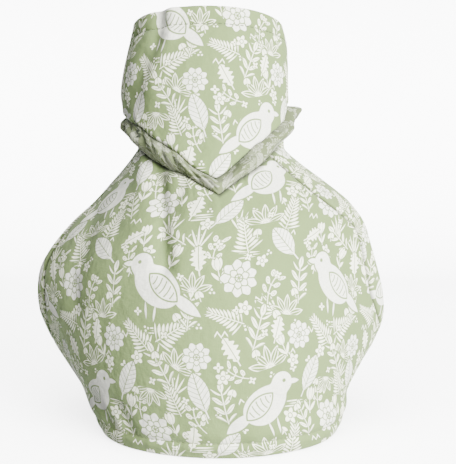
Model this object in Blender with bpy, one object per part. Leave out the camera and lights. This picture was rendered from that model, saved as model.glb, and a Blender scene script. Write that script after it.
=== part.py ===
"""A tea cosy of the muff type: two body panels over a round pot, side slits with facings,
a gathered neck band and an upright collar.

Metres, +Z up. The hem stands on z = 0, the front faces -Y, and the spout slit is at -X.
"""

import math
from collections import namedtuple

import bmesh
import bpy
from mathutils import Vector

MM = 0.001

# Driving dimensions, in millimetres.
CLOTH = 2.4          # padded cotton, through both faces and the wadding
SEAM_GAP = 0.3       # between two pieces that are sewn edge to edge
RING_GAP = 0.4       # between the neck band and the rings of cloth above and below it
MERGE = 0.01         # points of a ring's two ends that are nearer than this are one
COLLAR_TOP = 229.0
SHARP_EDGE = 50.0    # degrees: the cut edges of the cloth stay sharp

# Body: height, side edges, half depth at the middle, squareness of the section's sides
# (1 is an ellipse and 2 a lens with pinched sides), half width of the side slits.
Section = namedtuple("Section", "z left right depth pinch slit")
BODY = (
    Section(0, -66.0, 75.0, 68.0, 0.95, 0.15),
    Section(6, -69.5, 78.0, 71.5, 0.97, 0.15),
    Section(13, -72.5, 79.5, 74.0, 1.02, 0.15),
    Section(20, -75.0, 78.5, 76.0, 1.15, 0.15),
    Section(34, -84.5, 87.0, 79.5, 1.40, 0.15),
    Section(45, -92.5, 94.5, 81.0, 1.65, 0.15),
    Section(55, -97.5, 99.0, 81.0, 1.80, 0.80),
    Section(65, -100.2, 100.2, 80.5, 1.90, 4.50),
    Section(78, -99.7, 98.0, 79.0, 2.00, 10.5),
    Section(90, -97.0, 94.5, 76.5, 2.00, 13.0),
    Section(102, -90.0, 91.0, 72.5, 2.00, 13.5),
    Section(115, -79.3, 87.0, 66.5, 1.95, 12.0),
    Section(127, -67.0, 78.5, 58.5, 1.80, 8.50),
    Section(139, -57.0, 64.5, 50.0, 1.55, 4.00),
    Section(149, -49.0, 51.5, 44.0, 1.30, 0.80),
    Section(157, -43.0, 42.0, 41.0, 1.10, 0.15),
    Section(158, -43.0, 42.0, 41.0, 1.10, 0.15),
    Section(170, -43.0, 42.0, 41.0, 1.10, 0.15),
)
BODY_SIDE = 157.0    # rows of the body are level at the hem and follow the V at the neck
EVEN_OUT = 3         # power of the height at which the columns close up towards the neck

# Collar: height, side edges, half depth, squareness.
COLLAR = (
    Section(125, -49.0, 44.0, 55.0, 1.00, 0.0),
    Section(137, -49.5, 44.5, 51.0, 1.00, 0.0),
    Section(150, -50.0, 44.5, 47.5, 1.00, 0.0),
    Section(165, -50.5, 44.5, 45.0, 1.05, 0.0),
    Section(178, -51.5, 44.5, 43.5, 1.10, 0.0),
    Section(188, -53.0, 44.5, 42.5, 1.10, 0.0),
    Section(200, -52.0, 44.5, 41.0, 1.10, 0.0),
    Section(219, -48.0, 43.5, 38.0, 1.10, 0.0),
    Section(229, -45.8, 41.2, 37.0, 1.10, 0.0),
)
COLLAR_FOOT = 180.0  # the section that places the folds round the collar

# The uneven V of the neck: angle round the half from its middle, height of the body's upper
# edge there, and of the collar's lower edge.
Edge = namedtuple("Edge", "angle body collar")
NECK_V = (
    Edge(-90, 164.0, 177.0),
    Edge(-65, 154.5, 170.5),
    Edge(-48, 147.5, 165.0),
    Edge(-34, 142.5, 157.5),
    Edge(-18, 138.3, 149.5),
    Edge(-8, 133.8, 142.6),
    Edge(7, 127.3, 135.8),
    Edge(20, 134.8, 143.4),
    Edge(35, 141.5, 154.0),
    Edge(50, 149.0, 161.5),
    Edge(65, 156.5, 169.0),
    Edge(90, 168.5, 183.0),
)

# The seams between panel and facings: share of the way up the side, and angle round the
# half body from its middle. At 90 degrees the facing has tapered away.
SeamPoint = namedtuple("SeamPoint", "up left right")
FACING_SEAM = (
    SeamPoint(0.27, 85.0, 86.0),
    SeamPoint(0.34, 76.0, 79.0),
    SeamPoint(0.40, 69.0, 69.5),
    SeamPoint(0.48, 68.5, 64.5),
    SeamPoint(0.57, 71.0, 65.0),
    SeamPoint(0.70, 75.0, 65.0),
    SeamPoint(0.78, 77.0, 58.0),
    SeamPoint(0.87, 77.0, 52.5),
    SeamPoint(1.00, 74.0, 52.0),
)

DEGREES_PER_MM = 0.75  # round the sides of the body, for the gap at those seams

# Soft troughs (depth above 0) and ridges (depth below 0) on the two panels: a straight run
# in the front view from one end to the other, its half width and its depth.
Fold = namedtuple("Fold", "x1 z1 x2 z2 width depth")
FRONT_FOLDS = (
    Fold(-28, 142, -24, 115, 5.0, 2.0),
    Fold(-24, 115, -21, 93, 5.0, 2.2),
    Fold(-16, 132, -17, 119, 5.0, 1.0),
    Fold(-36, 142, -38, 112, 6.0, -1.0),
    Fold(18, 118, 22, 94, 5.0, 0.9),
    Fold(34, 142, 40, 122, 5.0, 0.9),
    Fold(57, 112, 72, 91, 5.0, 1.7),
    Fold(72, 91, 82, 74, 5.0, 1.7),
    Fold(-64, 118, -68, 93, 6.0, 1.5),
    Fold(-71, 84, -69, 70, 6.0, 1.3),
    Fold(-88, 52, -73, 26, 6.0, 1.8),
    Fold(-62, 22, -52, 12, 5.0, 1.8),
    Fold(-46, 22, -40, 12, 5.0, 1.6),
    Fold(6, 20, 14, 12, 5.0, 0.9),
    Fold(38, 24, 62, 34, 8.0, 1.2),
)
BACK_FOLDS = (
    Fold(10, 136, 14, 100, 5.0, 2.4),
    Fold(-26, 134, -32, 106, 5.0, 1.8),
    Fold(-66, 108, -84, 74, 5.5, 2.0),
    Fold(58, 108, 72, 84, 6.0, 1.6),
    Fold(72, 42, 58, 22, 6.0, 1.8),
    Fold(-22, 18, 12, 22, 5.0, 1.6),
)
COLLAR_FOLDS = (
    Fold(-24, 230, -23, 208, 4.0, -0.9),
    Fold(-32, 230, -31, 206, 4.0, 1.8),
    Fold(-23, 208, -32, 181, 6.0, -0.8),
    Fold(-33, 206, -40, 184, 6.0, 1.5),
    Fold(32, 215, 35, 186, 6.0, 0.9),
    Fold(-8, 150, -2, 176, 7.0, 0.8),
    Fold(22, 160, 30, 146, 5.0, 0.8),
)

# The folds die out towards the side seams, whose two edges stay together: they are whole
# where the section rises to this share of its depth.
FOLD_RISE = 0.45

# Rows of the sheets. The hems are marked by a crease where their inner edge is stitched.
HEM_CREASE = 11.5
TOP_HEM_CREASE = 219.3
CREASE_WIDTH = 2.5
CREASE_DEPTH = 1.1
HEM_ROWS = (0.0, 4.0, 8.0, 11.5, 15.0)
ROWS_ABOVE_HEM = 20
PANEL_COLUMNS = 32
FACING_COLUMNS = 4
COLLAR_ROWS = 12
BAND_ROWS = 6

# Neck band: how far it puffs out in the middle, and how much further its two sides stand
# out. The rise of an ear is 1 where it stands out furthest half way up, and more if higher.
BAND_PUFF = 3.0
Ear = namedtuple("Ear", "reach rise")
LEFT_EAR = Ear(4.7, 0.6)
RIGHT_EAR = Ear(6.2, 1.6)
EAR_NARROWING = 6    # power of the sine of the angle: an ear is a short stretch of the band
BAND_TILT = 0.25     # rise of the direction in which the band stands out
Ruffle = namedtuple("Ruffle", "waves height phase")
RUFFLES = (Ruffle(17, 0.8, 0.4), Ruffle(11, 0.6, 1.9), Ruffle(5, 0.5, 0.8))


def blend(a, b, share):
    """The value a share of the way from a to b."""
    return a + (b - a) * share


def bracket(rows, key, at):
    """Index of the row at or below a height, with a row above it."""
    for index in range(len(rows) - 2, -1, -1):
        if at >= getattr(rows[index], key):
            return index
    return 0


def slope(rows, key, field, index):
    """Slope of one column at a row, from its neighbours, and level at both ends."""
    if index in (0, len(rows) - 1):
        return 0.0
    low, high = rows[index - 1], rows[index + 1]
    return (getattr(high, field) - getattr(low, field)) / (getattr(high, key) - getattr(low, key))


def smooth(rows, key, field, at):
    """One column of a table as a smooth curve through its rows, level past its ends."""
    at = min(max(at, getattr(rows[0], key)), getattr(rows[-1], key))
    index = bracket(rows, key, at)
    low, high = rows[index], rows[index + 1]
    span = getattr(high, key) - getattr(low, key)
    t = (at - getattr(low, key)) / span
    return (
        getattr(low, field) * (1 + 2 * t) * (1 - t) ** 2
        + slope(rows, key, field, index) * span * t * (1 - t) ** 2
        + getattr(high, field) * t * t * (3 - 2 * t)
        + slope(rows, key, field, index + 1) * span * t * t * (t - 1)
    )


def section_at(rows, z):
    """The section of the body or the collar at a height."""
    fields = [smooth(rows, "z", field, z) for field in Section._fields[1:]]
    return Section(z, *fields)


def fold_depth(folds, x, z):
    """How far the folds near a point draw the cloth in."""
    total = 0.0
    for fold in folds:
        start = Vector((fold.x1, fold.z1))
        run = Vector((fold.x2, fold.z2)) - start
        along = min(max((Vector((x, z)) - start).dot(run) / run.length_squared, 0.0), 1.0)
        away = (Vector((x, z)) - start - run * along).length
        total += fold.depth * math.exp(-((away / fold.width) ** 2))
    return total


def crease_depth(z, at):
    """The stitched crease of a hem that runs round the cloth at one height."""
    return CREASE_DEPTH * math.exp(-(((z - at) / CREASE_WIDTH) ** 2))


def on_section(section, share, side, depth, drawn_in):
    """A point of a section: share is -1 to 1 across it, side is -1 in front and 1 behind.

    depth is 0 on the outer face of the cloth and 1 on the inner one.
    """
    middle = (section.left + section.right) / 2
    half = (section.right - section.left) / 2
    rise = math.sqrt(max(1.0 - share * share, 0.0))
    full = section.depth - section.slit - depth * CLOTH
    x = middle + share * (half - depth * CLOTH)
    y = side * (section.slit + full * rise ** section.pinch)
    outward = Vector((share / half, side * rise / section.depth)).normalized()
    drawn_in *= min(rise / FOLD_RISE, 1.0)
    return Vector((x - outward.x * drawn_in, y - outward.y * drawn_in, section.z)) * MM


def body_point(side, angle, up, depth):
    """A point of the body: angle is -90 to 90 degrees round its half, up is 0 to 1."""
    across = math.sin(math.radians(angle))
    top = smooth(NECK_V, "angle", "body", angle)
    above = section_at(BODY, top)
    top_x = blend(BODY[-1].left, BODY[-1].right, (across + 1) / 2)
    top_share = (2 * top_x - above.left - above.right) / (above.right - above.left)
    share = blend(across, min(max(top_share, -1.0), 1.0), up ** EVEN_OUT)
    z = up * BODY_SIDE + (top - BODY_SIDE) * up * up
    section = section_at(BODY, z)
    folds = FRONT_FOLDS if side < 0 else BACK_FOLDS
    x = blend(section.left, section.right, (share + 1) / 2)
    drawn_in = fold_depth(folds, x, z) * min(z / HEM_CREASE, 1.0) + crease_depth(z, HEM_CREASE)
    return on_section(section, share, side, depth, drawn_in)


def collar_point(angle, up, depth):
    """A point of the collar: angle is -180 to 180 degrees round it, 0 in front."""
    across = math.sin(math.radians(angle))
    side = side_at(angle)
    z = blend(smooth(NECK_V, "angle", "collar", folded(angle)), COLLAR_TOP, up)
    foot = section_at(COLLAR, COLLAR_FOOT)
    drawn_in = crease_depth(z, TOP_HEM_CREASE)
    if side < 0:
        drawn_in += fold_depth(COLLAR_FOLDS, blend(foot.left, foot.right, (across + 1) / 2), z)
    return on_section(section_at(COLLAR, z), across, side, depth, drawn_in)


def side_at(angle):
    """-1 in front and 1 behind, for an angle all the way round."""
    return -1 if math.cos(math.radians(angle)) >= 0 else 1


def folded(angle):
    """The angle of the point straight in front of this one, -90 to 90 degrees."""
    return math.degrees(math.asin(math.sin(math.radians(angle))))


def band_puff(angle, up):
    """How far the gathered band stands out, at an angle round it and 0 to 1 up it."""
    turn = math.radians(angle)
    across = math.sin(turn)
    ear = RIGHT_EAR if across > 0 else LEFT_EAR
    ruffle = sum(r.height * math.sin(r.waves * turn + r.phase) for r in RUFFLES)
    lift = up ** blend(1.0, ear.rise, across ** EAR_NARROWING)
    reach = BAND_PUFF + ear.reach * across ** EAR_NARROWING
    return reach * math.sin(math.pi * lift) + ruffle * math.sin(math.pi * up)


def band_point(angle, up, depth):
    """A point of the neck band, between the body's upper edge and the collar's lower one."""
    low = body_point(side_at(angle), folded(angle), 1.0, depth)
    high = collar_point(angle, 0.0, depth)
    gap = Vector((0, 0, RING_GAP * MM))
    turn = math.radians(angle)
    outward = Vector((math.sin(turn), -math.cos(turn), BAND_TILT)).normalized()
    return (low + gap).lerp(high - gap, up) + outward * band_puff(angle, up) * MM


def row_heights():
    """Shares of the way up for the rows of a body panel, close together at the hem."""
    hem = [z / BODY_SIDE for z in HEM_ROWS]
    above = [blend(hem[-1], 1.0, (i + 1) / ROWS_ABOVE_HEM) for i in range(ROWS_ABOVE_HEM)]
    return hem + above


def rim_angles():
    """Angles of the columns of a ring, which are those of the body's upper edge."""
    left, right = -FACING_SEAM[-1].left, FACING_SEAM[-1].right
    runs = (
        (-90.0, left, FACING_COLUMNS),
        (left, right, PANEL_COLUMNS),
        (right, 90.0, FACING_COLUMNS),
    )
    front = [blend(start, end, i / count) for start, end, count in runs for i in range(count)]
    back = [180.0 - angle for angle in reversed(front[1:])]
    return [*front, 90.0, *back, -90.0]


def seam_angle(up, hand):
    """Angle of the seam between panel and facing, or of the side seam below the slit."""
    if up < FACING_SEAM[0].up:
        return 90.0
    return smooth(FACING_SEAM, "up", "left" if hand < 0 else "right", up)


def seam_allowance(up):
    """Half the gap at a facing's seam, as an angle."""
    return SEAM_GAP / 2 * DEGREES_PER_MM if up >= FACING_SEAM[0].up else 0.0


ROW_SHARES = row_heights()
RIM_ANGLES = rim_angles()
FACING_FIRST_ROW = next(i for i, up in enumerate(ROW_SHARES) if up >= FACING_SEAM[0].up)


def sheet(name, columns, rows, place, material, closed=False):
    """One piece of cloth: a grid laid on the points of place, and extruded to its thickness.

    place takes -1 to 1 across, a row number, and 0 for the outer face or 1 for the inner.
    """
    mesh = bmesh.new()
    bmesh.ops.create_grid(mesh, x_segments=columns, y_segments=rows, size=1.0)
    across = mesh.verts.layers.float.new("across")
    row = mesh.verts.layers.float.new("row")
    for vert in mesh.verts:
        vert[across] = vert.co.x
        vert[row] = round((vert.co.y + 1) / 2 * rows)
        vert.co = place(vert[across], int(vert[row]), 0)
    if closed:
        bmesh.ops.remove_doubles(mesh, verts=mesh.verts, dist=MERGE * MM)
    thick = bmesh.ops.extrude_face_region(mesh, geom=mesh.faces[:], use_keep_orig=True)
    for vert in (item for item in thick["geom"] if isinstance(item, bmesh.types.BMVert)):
        vert.co = place(vert[across], int(vert[row]), 1)
    bmesh.ops.recalc_face_normals(mesh, faces=mesh.faces)
    data = bpy.data.meshes.new(name)
    mesh.to_mesh(data)
    mesh.free()
    data.materials.append(material)
    data.shade_smooth()
    data.set_sharp_from_angle(angle=math.radians(SHARP_EDGE))
    piece = bpy.data.objects.new(name, data)
    bpy.context.scene.collection.objects.link(piece)
    return piece


def fabric(name, colour, roughness):
    """A plain cloth finish."""
    material = bpy.data.materials.new(name)
    material.use_nodes = True
    shader = material.node_tree.nodes["Principled BSDF"]
    shader.inputs["Base Color"].default_value = (*colour, 1.0)
    shader.inputs["Roughness"].default_value = roughness
    shader.inputs["Metallic"].default_value = 0.0
    return material


def body_panel(name, side, material):
    """The front or the back panel, with its hem, out to the facings and the side seams."""

    def place(across, row, depth):
        up = ROW_SHARES[row]
        left = seam_allowance(up) - seam_angle(up, -1)
        right = seam_angle(up, 1) - seam_allowance(up)
        return body_point(side, blend(left, right, (across + 1) / 2), up, depth)

    return sheet(name, PANEL_COLUMNS, len(ROW_SHARES) - 1, place, material)


def facing(name, side, hand, material):
    """The strip along one edge of one slit; hand is -1 at the spout and 1 at the handle."""
    rows = len(ROW_SHARES) - 1 - FACING_FIRST_ROW

    def place(across, row, depth):
        up = ROW_SHARES[row + FACING_FIRST_ROW]
        inner = seam_angle(up, hand) + seam_allowance(up)
        return body_point(side, hand * blend(inner, 90.0, (across + 1) / 2), up, depth)

    return sheet(name, FACING_COLUMNS, rows, place, material)


def ring(name, rows, point, material):
    """A sheet that closes on itself round the neck."""
    columns = len(RIM_ANGLES) - 1

    def place(across, row, depth):
        return point(RIM_ANGLES[round((across + 1) / 2 * columns)], row / rows, depth)

    return sheet(name, columns, rows, place, material, closed=True)


def build():
    """Clear the scene and make every piece."""
    for old in list(bpy.data.objects):
        bpy.data.objects.remove(old)
    body_panel("body_front", -1, fabric("front_cloth", (0.47, 0.55, 0.36), 0.88))
    body_panel("body_back", 1, fabric("back_cloth", (0.46, 0.54, 0.35), 0.88))
    for side, face in ((-1, "front"), (1, "back")):
        for hand, end in ((-1, "left"), (1, "right")):
            name = f"facing_{face}_{end}"
            facing(name, side, hand, fabric(f"{name}_cloth", (0.50, 0.58, 0.40), 0.88))
    ring("neck_band", BAND_ROWS, band_point, fabric("band_cloth", (0.40, 0.46, 0.30), 0.90))
    ring("collar", COLLAR_ROWS, collar_point, fabric("collar_cloth", (0.48, 0.56, 0.37), 0.88))


build()
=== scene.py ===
"""The looks of a padded cotton tea cosy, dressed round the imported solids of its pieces.

Two printed body panels hang over a round pot, with facings along the slits for spout and
handle, a gathered band round the neck and an upright collar. The hem stands on z = 0, the
front faces -Y and the spout slit is at -X. Tables are in millimetres, meshes in metres.
"""

import logging
import math
from collections.abc import Callable, Sequence
from dataclasses import dataclass, field
from enum import Enum

import bmesh
import bpy
import numpy as np
from mathutils import Euler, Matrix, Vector, noise


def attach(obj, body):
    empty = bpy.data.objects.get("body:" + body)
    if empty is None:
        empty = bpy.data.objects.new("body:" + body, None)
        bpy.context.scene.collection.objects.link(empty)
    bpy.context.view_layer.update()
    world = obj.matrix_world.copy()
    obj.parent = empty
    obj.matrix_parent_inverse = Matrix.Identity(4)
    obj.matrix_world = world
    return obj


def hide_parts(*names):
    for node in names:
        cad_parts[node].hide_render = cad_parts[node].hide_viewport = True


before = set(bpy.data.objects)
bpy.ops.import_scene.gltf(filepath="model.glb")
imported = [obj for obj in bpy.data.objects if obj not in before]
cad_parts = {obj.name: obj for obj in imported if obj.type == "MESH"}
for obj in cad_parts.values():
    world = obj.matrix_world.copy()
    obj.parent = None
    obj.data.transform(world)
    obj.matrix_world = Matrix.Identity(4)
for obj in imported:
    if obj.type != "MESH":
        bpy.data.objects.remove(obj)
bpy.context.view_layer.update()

LOG = logging.getLogger("tea_cosy")
MM = 0.001
Array = np.ndarray

# The cloth: padded cotton, and how its pieces meet.
CLOTH = 2.4
RING_GAP = 0.1
SEAM_GAP = 0.03
DEGREES_PER_MM = 0.75
SEAM_DIP = 1.3
SEAM_DIP_WIDTH = 1.3
# Widths of the painted shade that darkens the cloth along the facings' seams and round the neck,
# and its dark colour.
FACING_SEAM_SHADE_WIDTH = 1.3
NECK_SEAM_SHADE_WIDTH = 0.5
PAINTED_SEAM_SHADE_COLOUR = (0.035, 0.042, 0.022, 1.0)

# The turned hems, with a stitched groove in a soft crease.
HEM_TURNING = 0.5
HEM_STEP = 0.5
HEM_CREASE = 8.3
TOP_HEM_CREASE = 219.3
CREASE_WIDTH = 2.5
CREASE_DEPTH = 1.1
GROOVE_WIDTH = 0.55
GROOVE_DEPTH = 0.45
STITCH_LIFT = 0.05
HEM_THREAD = (0.10, 0.125, 0.06)
SAGE_THREAD = (0.17, 0.21, 0.095)
DARK_THREAD = (0.035, 0.042, 0.028)

# Where the rows of a grid lie next to a rounded edge and across a stitched groove.
EDGE_ROWS = np.array([0.0, 0.12, 0.35, 0.7, 1.2, 1.9, 2.8])
GROOVE_ROWS = np.linspace(-1.6, 1.6, 13)
GROOVE_CLEAR = 2.0

# The body's side and slits, and the neck above them.
BODY_SIDE = 157.0
EVEN_OUT = 3
SLIT_FOOT = 50.0
FOLD_RISE = 0.45
NECK_TIP = 7.0
NECK_RADIUS = 46.0


@dataclass(frozen=True)
class Section:
    """A level section of the cloth: its side edges, half depth, squareness and half slit."""

    z: float
    left: float
    right: float
    depth: float
    pinch: float
    slit: float = 0.0


@dataclass(frozen=True)
class NeckPoint:
    """The V of the neck at one angle: height of the body's edge and of the collar's."""

    angle: float
    body: float
    collar: float


@dataclass(frozen=True)
class SeamPoint:
    """Where the facings' seams run: the angle round the half body at a share of its height."""

    up: float
    left: float
    right: float


@dataclass(frozen=True)
class Fold:
    """A soft trough, or a ridge where depth is below 0, along a run in the front view."""

    x1: float
    z1: float
    x2: float
    z2: float
    width: float
    depth: float


@dataclass(frozen=True)
class Ripple:
    """Unevenness of the cloth: how high and how wide its lumps are in mm, and its seed."""

    height: float
    size: float
    seed: float = 0.0

    def at(self, places: Array) -> Array:
        """How far it draws the cloth in at each place, in mm."""
        return self.height * crumple(places, self.size, self.seed)


@dataclass(frozen=True)
class Puckers:
    """Little puffs along a gathered seam: height, width and reach from it in mm, and seed."""

    height: float
    size: float
    reach: float
    seed: float

    def at(self, places: Array, away: Array) -> Array:
        """How far they draw the cloth in at each place, by its distance from the seam."""
        gathers = 2 * np.abs(crumple(places, self.size, self.seed)) - 0.5
        return -self.height * gathers * bell(away, self.reach)


@dataclass(frozen=True)
class Ear:
    """How much further one end of the neck band stands out, and how high up it does."""

    reach: float
    rise: float


@dataclass(frozen=True)
class Ruffle:
    """One wave round the neck band."""

    waves: int
    height: float
    phase: float


BODY_SECTIONS = (
    Section(0, -62.5, 72.0, 68.0, 0.86, 0.02),
    Section(6, -66.0, 75.0, 71.5, 0.90, 0.02),
    Section(13, -69.8, 77.5, 74.0, 0.99, 0.02),
    Section(20, -73.8, 78.5, 76.0, 1.14, 0.02),
    Section(34, -84.5, 87.0, 79.5, 1.40, 0.02),
    Section(45, -92.5, 94.5, 81.0, 1.65, 0.02),
    Section(55, -97.5, 99.0, 81.0, 1.80, 0.80),
    Section(65, -100.2, 100.2, 80.5, 1.90, 4.50),
    Section(78, -99.7, 98.0, 79.0, 2.00, 10.5),
    Section(90, -97.0, 94.5, 76.5, 2.00, 13.0),
    Section(102, -90.0, 91.0, 72.5, 2.00, 13.5),
    Section(115, -79.3, 87.0, 66.5, 1.95, 12.0),
    Section(127, -67.0, 78.5, 58.5, 1.80, 8.50),
    Section(139, -57.0, 64.5, 50.0, 1.55, 4.00),
    Section(149, -49.0, 51.5, 44.0, 1.30, 0.80),
    Section(157, -43.0, 42.0, 41.0, 1.10, 0.02),
    Section(158, -43.0, 42.0, 41.0, 1.10, 0.02),
    Section(170, -43.0, 42.0, 41.0, 1.10, 0.02),
)
COLLAR_SECTIONS = (
    Section(125, -49.0, 44.0, 55.0, 1.00),
    Section(137, -49.5, 44.5, 51.0, 1.00),
    Section(150, -50.0, 44.5, 47.5, 1.00),
    Section(165, -50.5, 44.5, 45.0, 1.05),
    Section(178, -51.5, 44.5, 43.5, 1.10),
    Section(188, -53.0, 44.5, 42.5, 1.10),
    Section(200, -52.0, 44.5, 41.0, 1.10),
    Section(219, -48.0, 43.5, 38.0, 1.10),
    Section(229, -45.8, 41.2, 37.0, 1.10),
)
NECK_V = (
    NeckPoint(-90, 164.0, 177.0),
    NeckPoint(-65, 154.5, 170.5),
    NeckPoint(-48, 147.5, 165.0),
    NeckPoint(-34, 142.5, 157.5),
    NeckPoint(-18, 138.3, 149.5),
    NeckPoint(-8, 133.8, 142.6),
    NeckPoint(NECK_TIP, 127.3, 135.8),
    NeckPoint(20, 134.8, 143.4),
    NeckPoint(35, 141.5, 154.0),
    NeckPoint(50, 149.0, 161.5),
    NeckPoint(65, 156.5, 169.0),
    NeckPoint(90, 168.5, 183.0),
)
FACING_SEAM = (
    SeamPoint(0.23, 89.5, 89.5),
    SeamPoint(0.27, 85.0, 86.0),
    SeamPoint(0.34, 76.0, 79.0),
    SeamPoint(0.40, 69.0, 69.5),
    SeamPoint(0.48, 68.5, 64.5),
    SeamPoint(0.57, 71.0, 65.0),
    SeamPoint(0.70, 75.0, 65.0),
    SeamPoint(0.78, 77.0, 58.0),
    SeamPoint(0.87, 77.0, 52.5),
    SeamPoint(1.00, 74.0, 52.0),
)
FRONT_FOLDS = (
    Fold(-28, 142, -24, 119, 4.6, 3.8),
    Fold(-23.4, 111, -21, 93, 4.6, 3.8),
    Fold(-16, 132, -17, 119, 4.0, 1.2),
    Fold(-36, 142, -38, 112, 6.0, -1.0),
    Fold(18, 118, 22, 94, 3.2, 1.1),
    Fold(34, 142, 40, 122, 4.5, 1.0),
    Fold(57, 112, 70, 94, 4.5, 1.8),
    Fold(74.5, 88, 82, 74, 4.5, 1.8),
    Fold(-64, 118, -68, 93, 6.0, 1.5),
    Fold(-71, 84, -69, 70, 5.0, 1.5),
    Fold(-88, 52, -73, 26, 6.0, 1.8),
    Fold(-62, 22, -52, 12, 4.0, 2.2),
    Fold(-46, 22, -40, 12, 4.0, 2.0),
    Fold(6, 20, 14, 12, 5.0, 1.0),
    Fold(38, 24, 62, 34, 8.0, 1.2),
)
BACK_FOLDS = (
    Fold(10, 136, 14, 100, 5.0, 2.4),
    Fold(-26, 134, -32, 106, 5.0, 1.8),
    Fold(-66, 108, -84, 74, 5.5, 2.0),
    Fold(58, 108, 72, 84, 6.0, 1.6),
    Fold(72, 42, 58, 22, 6.0, 1.8),
    Fold(-22, 18, 12, 22, 5.0, 1.6),
)
COLLAR_FOLDS = (
    Fold(-24, 230, -23, 212, 4.0, -0.9),
    Fold(-32, 230, -31, 211, 4.0, 1.8),
    Fold(-24.5, 204, -32, 181, 6.0, -0.8),
    Fold(-34, 202.5, -40, 184, 6.0, 1.5),
    Fold(32, 215, 35, 186, 6.0, 0.9),
    Fold(-8, 150, -2, 176, 7.0, 0.8),
    Fold(22, 160, 30, 146, 5.0, 0.8),
)
BODY_RIPPLES = (Ripple(0.45, 34.0), Ripple(0.18, 11.0, 4.3))
BODY_HEM_WAVES = Ripple(0.35, 7.5, 2.2)
BODY_PUCKERS = Puckers(0.75, 4.5, 8.0, 8.1)
COLLAR_RIPPLES = (Ripple(0.4, 30.0, 1.7), Ripple(0.15, 10.0, 5.1))
COLLAR_HEM_WAVES = Ripple(0.25, 6.0, 7.7)
COLLAR_FOOT_WAVES = Ripple(0.7, 6.5, 9.9)
COLLAR_PUCKERS = Puckers(0.6, 4.2, 6.0, 3.3)
LEFT_EAR = Ear(4.7, 0.6)
RIGHT_EAR = Ear(6.2, 1.6)
RUFFLES = (Ruffle(17, 0.8, 0.4), Ruffle(11, 0.6, 1.9), Ruffle(5, 0.5, 0.8))


class Side(Enum):
    """Which half of the cosy: the sign of Y there."""

    FRONT = -1
    BACK = 1


class Hand(Enum):
    """Which slit: the sign of X there."""

    SPOUT = -1
    HANDLE = 1


def blend(a: Array | float, b: Array | float, share: Array | float) -> Array | float:
    """The value a share of the way from a to b."""
    return a + (b - a) * share


def bell(distance: Array, width: float) -> Array:
    """A share that falls smoothly from 1 at a distance of 0, to 0.37 at the width."""
    return np.exp(-((distance / width) ** 2))


def fold_back(angle: Array) -> Array:
    """The angle of the point straight in front of each one, from -90 to 90 degrees."""
    return np.degrees(np.arcsin(np.sin(np.radians(angle))))


def half_at(angle: Array) -> Array:
    """-1 at each angle on the front half and 1 on the back half."""
    return np.where(np.cos(np.radians(angle)) >= 0, -1.0, 1.0)


def crumple(places: Array, size: float, seed: float = 0.0) -> Array:
    """Smooth noise over places.

    Args:
        places: Points, with their three coordinates in the last axis.
        size: Width of its lumps, in the points' units.
        seed: Shift that gives another field of lumps.

    Returns:
        A value from -1 to 1 for each point.
    """
    flat = places.reshape(-1, 3) / size + seed
    values = [noise.noise(Vector(place)) for place in flat]
    return np.array(values).reshape(places.shape[:-1])


def lengths(points: Array, axis: int) -> Array:
    """Distance in mm along one axis of a grid of points, from its first row or column."""
    steps = np.linalg.norm(np.diff(points, axis=axis), axis=-1)
    return np.insert(np.cumsum(steps, axis=axis), 0, 0.0, axis=axis)


def spread(length: float, pitch: float, fine_ends: bool = True,
           groove: float | None = None) -> Array:
    """Shares from 0 to 1 along an edge-to-edge run, close together near the rounded edges.

    Args:
        length: Length of the run in mm.
        pitch: Distance between points away from the edges, in mm.
        fine_ends: Whether the run ends in rounded edges.
        groove: Where along the run, in mm, a stitched groove crosses it, if one does.

    Returns:
        The shares in rising order.
    """
    if not fine_ends:
        return np.linspace(0.0, 1.0, round(length / pitch) + 1)
    ends = EDGE_ROWS / length
    count = max(round((length * (1 - 2 * ends[-1])) / pitch), 2)
    middle = np.linspace(ends[-1], 1 - ends[-1], count + 1)
    shares = np.concatenate([ends[:-1], middle, 1 - ends[-2::-1]])
    if groove is None:
        return shares
    fine = (groove + GROOVE_ROWS) / length
    apart = np.abs(shares - groove / length) > GROOVE_CLEAR / length
    return np.sort(np.concatenate([shares[apart], fine]))


class Curve:
    """A smooth curve through one column of a table, level past its two ends."""

    def __init__(self, rows: Sequence[object], key: str, column: str,
                 corner: float | None = None) -> None:
        """Read the table.

        Args:
            rows: The table's rows, in rising order of the key.
            key: Name of the column that the curve runs along.
            column: Name of the column that it gives.
            corner: Where on the key the curve has a sharp corner, if it has one.
        """
        self.keys = np.array([getattr(row, key) for row in rows], float)
        self.values = np.array([getattr(row, column) for row in rows], float)
        rises = (self.values[2:] - self.values[:-2]) / (self.keys[2:] - self.keys[:-2])
        self.leaving = np.concatenate([[0.0], rises, [0.0]])
        self.arriving = self.leaving.copy()
        if corner is not None:
            row = int(np.argmin(np.abs(self.keys - corner)))
            straight = np.diff(self.values) / np.diff(self.keys)
            self.arriving[row], self.leaving[row] = straight[row - 1], straight[row]

    def at(self, where: Array | float) -> Array:
        """The curve's value at each place along the key."""
        where = np.clip(where, self.keys[0], self.keys[-1])
        low = np.clip(np.searchsorted(self.keys, where, side="right") - 1, 0, len(self.keys) - 2)
        span = self.keys[low + 1] - self.keys[low]
        t = (where - self.keys[low]) / span
        return (
            self.values[low] * (1 + 2 * t) * (1 - t) ** 2
            + self.leaving[low] * span * t * (1 - t) ** 2
            + self.values[low + 1] * t * t * (3 - 2 * t)
            + self.arriving[low + 1] * span * t * t * (t - 1)
        )


def fold_depth(folds: Sequence[Fold], x: Array, z: Array) -> Array:
    """How far in mm a set of folds draws the cloth in at each place of the front view."""
    total = np.zeros(np.broadcast(x, z).shape)
    for fold in folds:
        run = np.array([fold.x2 - fold.x1, fold.z2 - fold.z1])
        from_start = ((x - fold.x1) * run[0] + (z - fold.z1) * run[1]) / (run @ run)
        along = np.clip(from_start, 0.0, 1.0)
        away = np.hypot(x - fold.x1 - run[0] * along, z - fold.z1 - run[1] * along)
        total += fold.depth * bell(away, fold.width)
    return total


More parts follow.
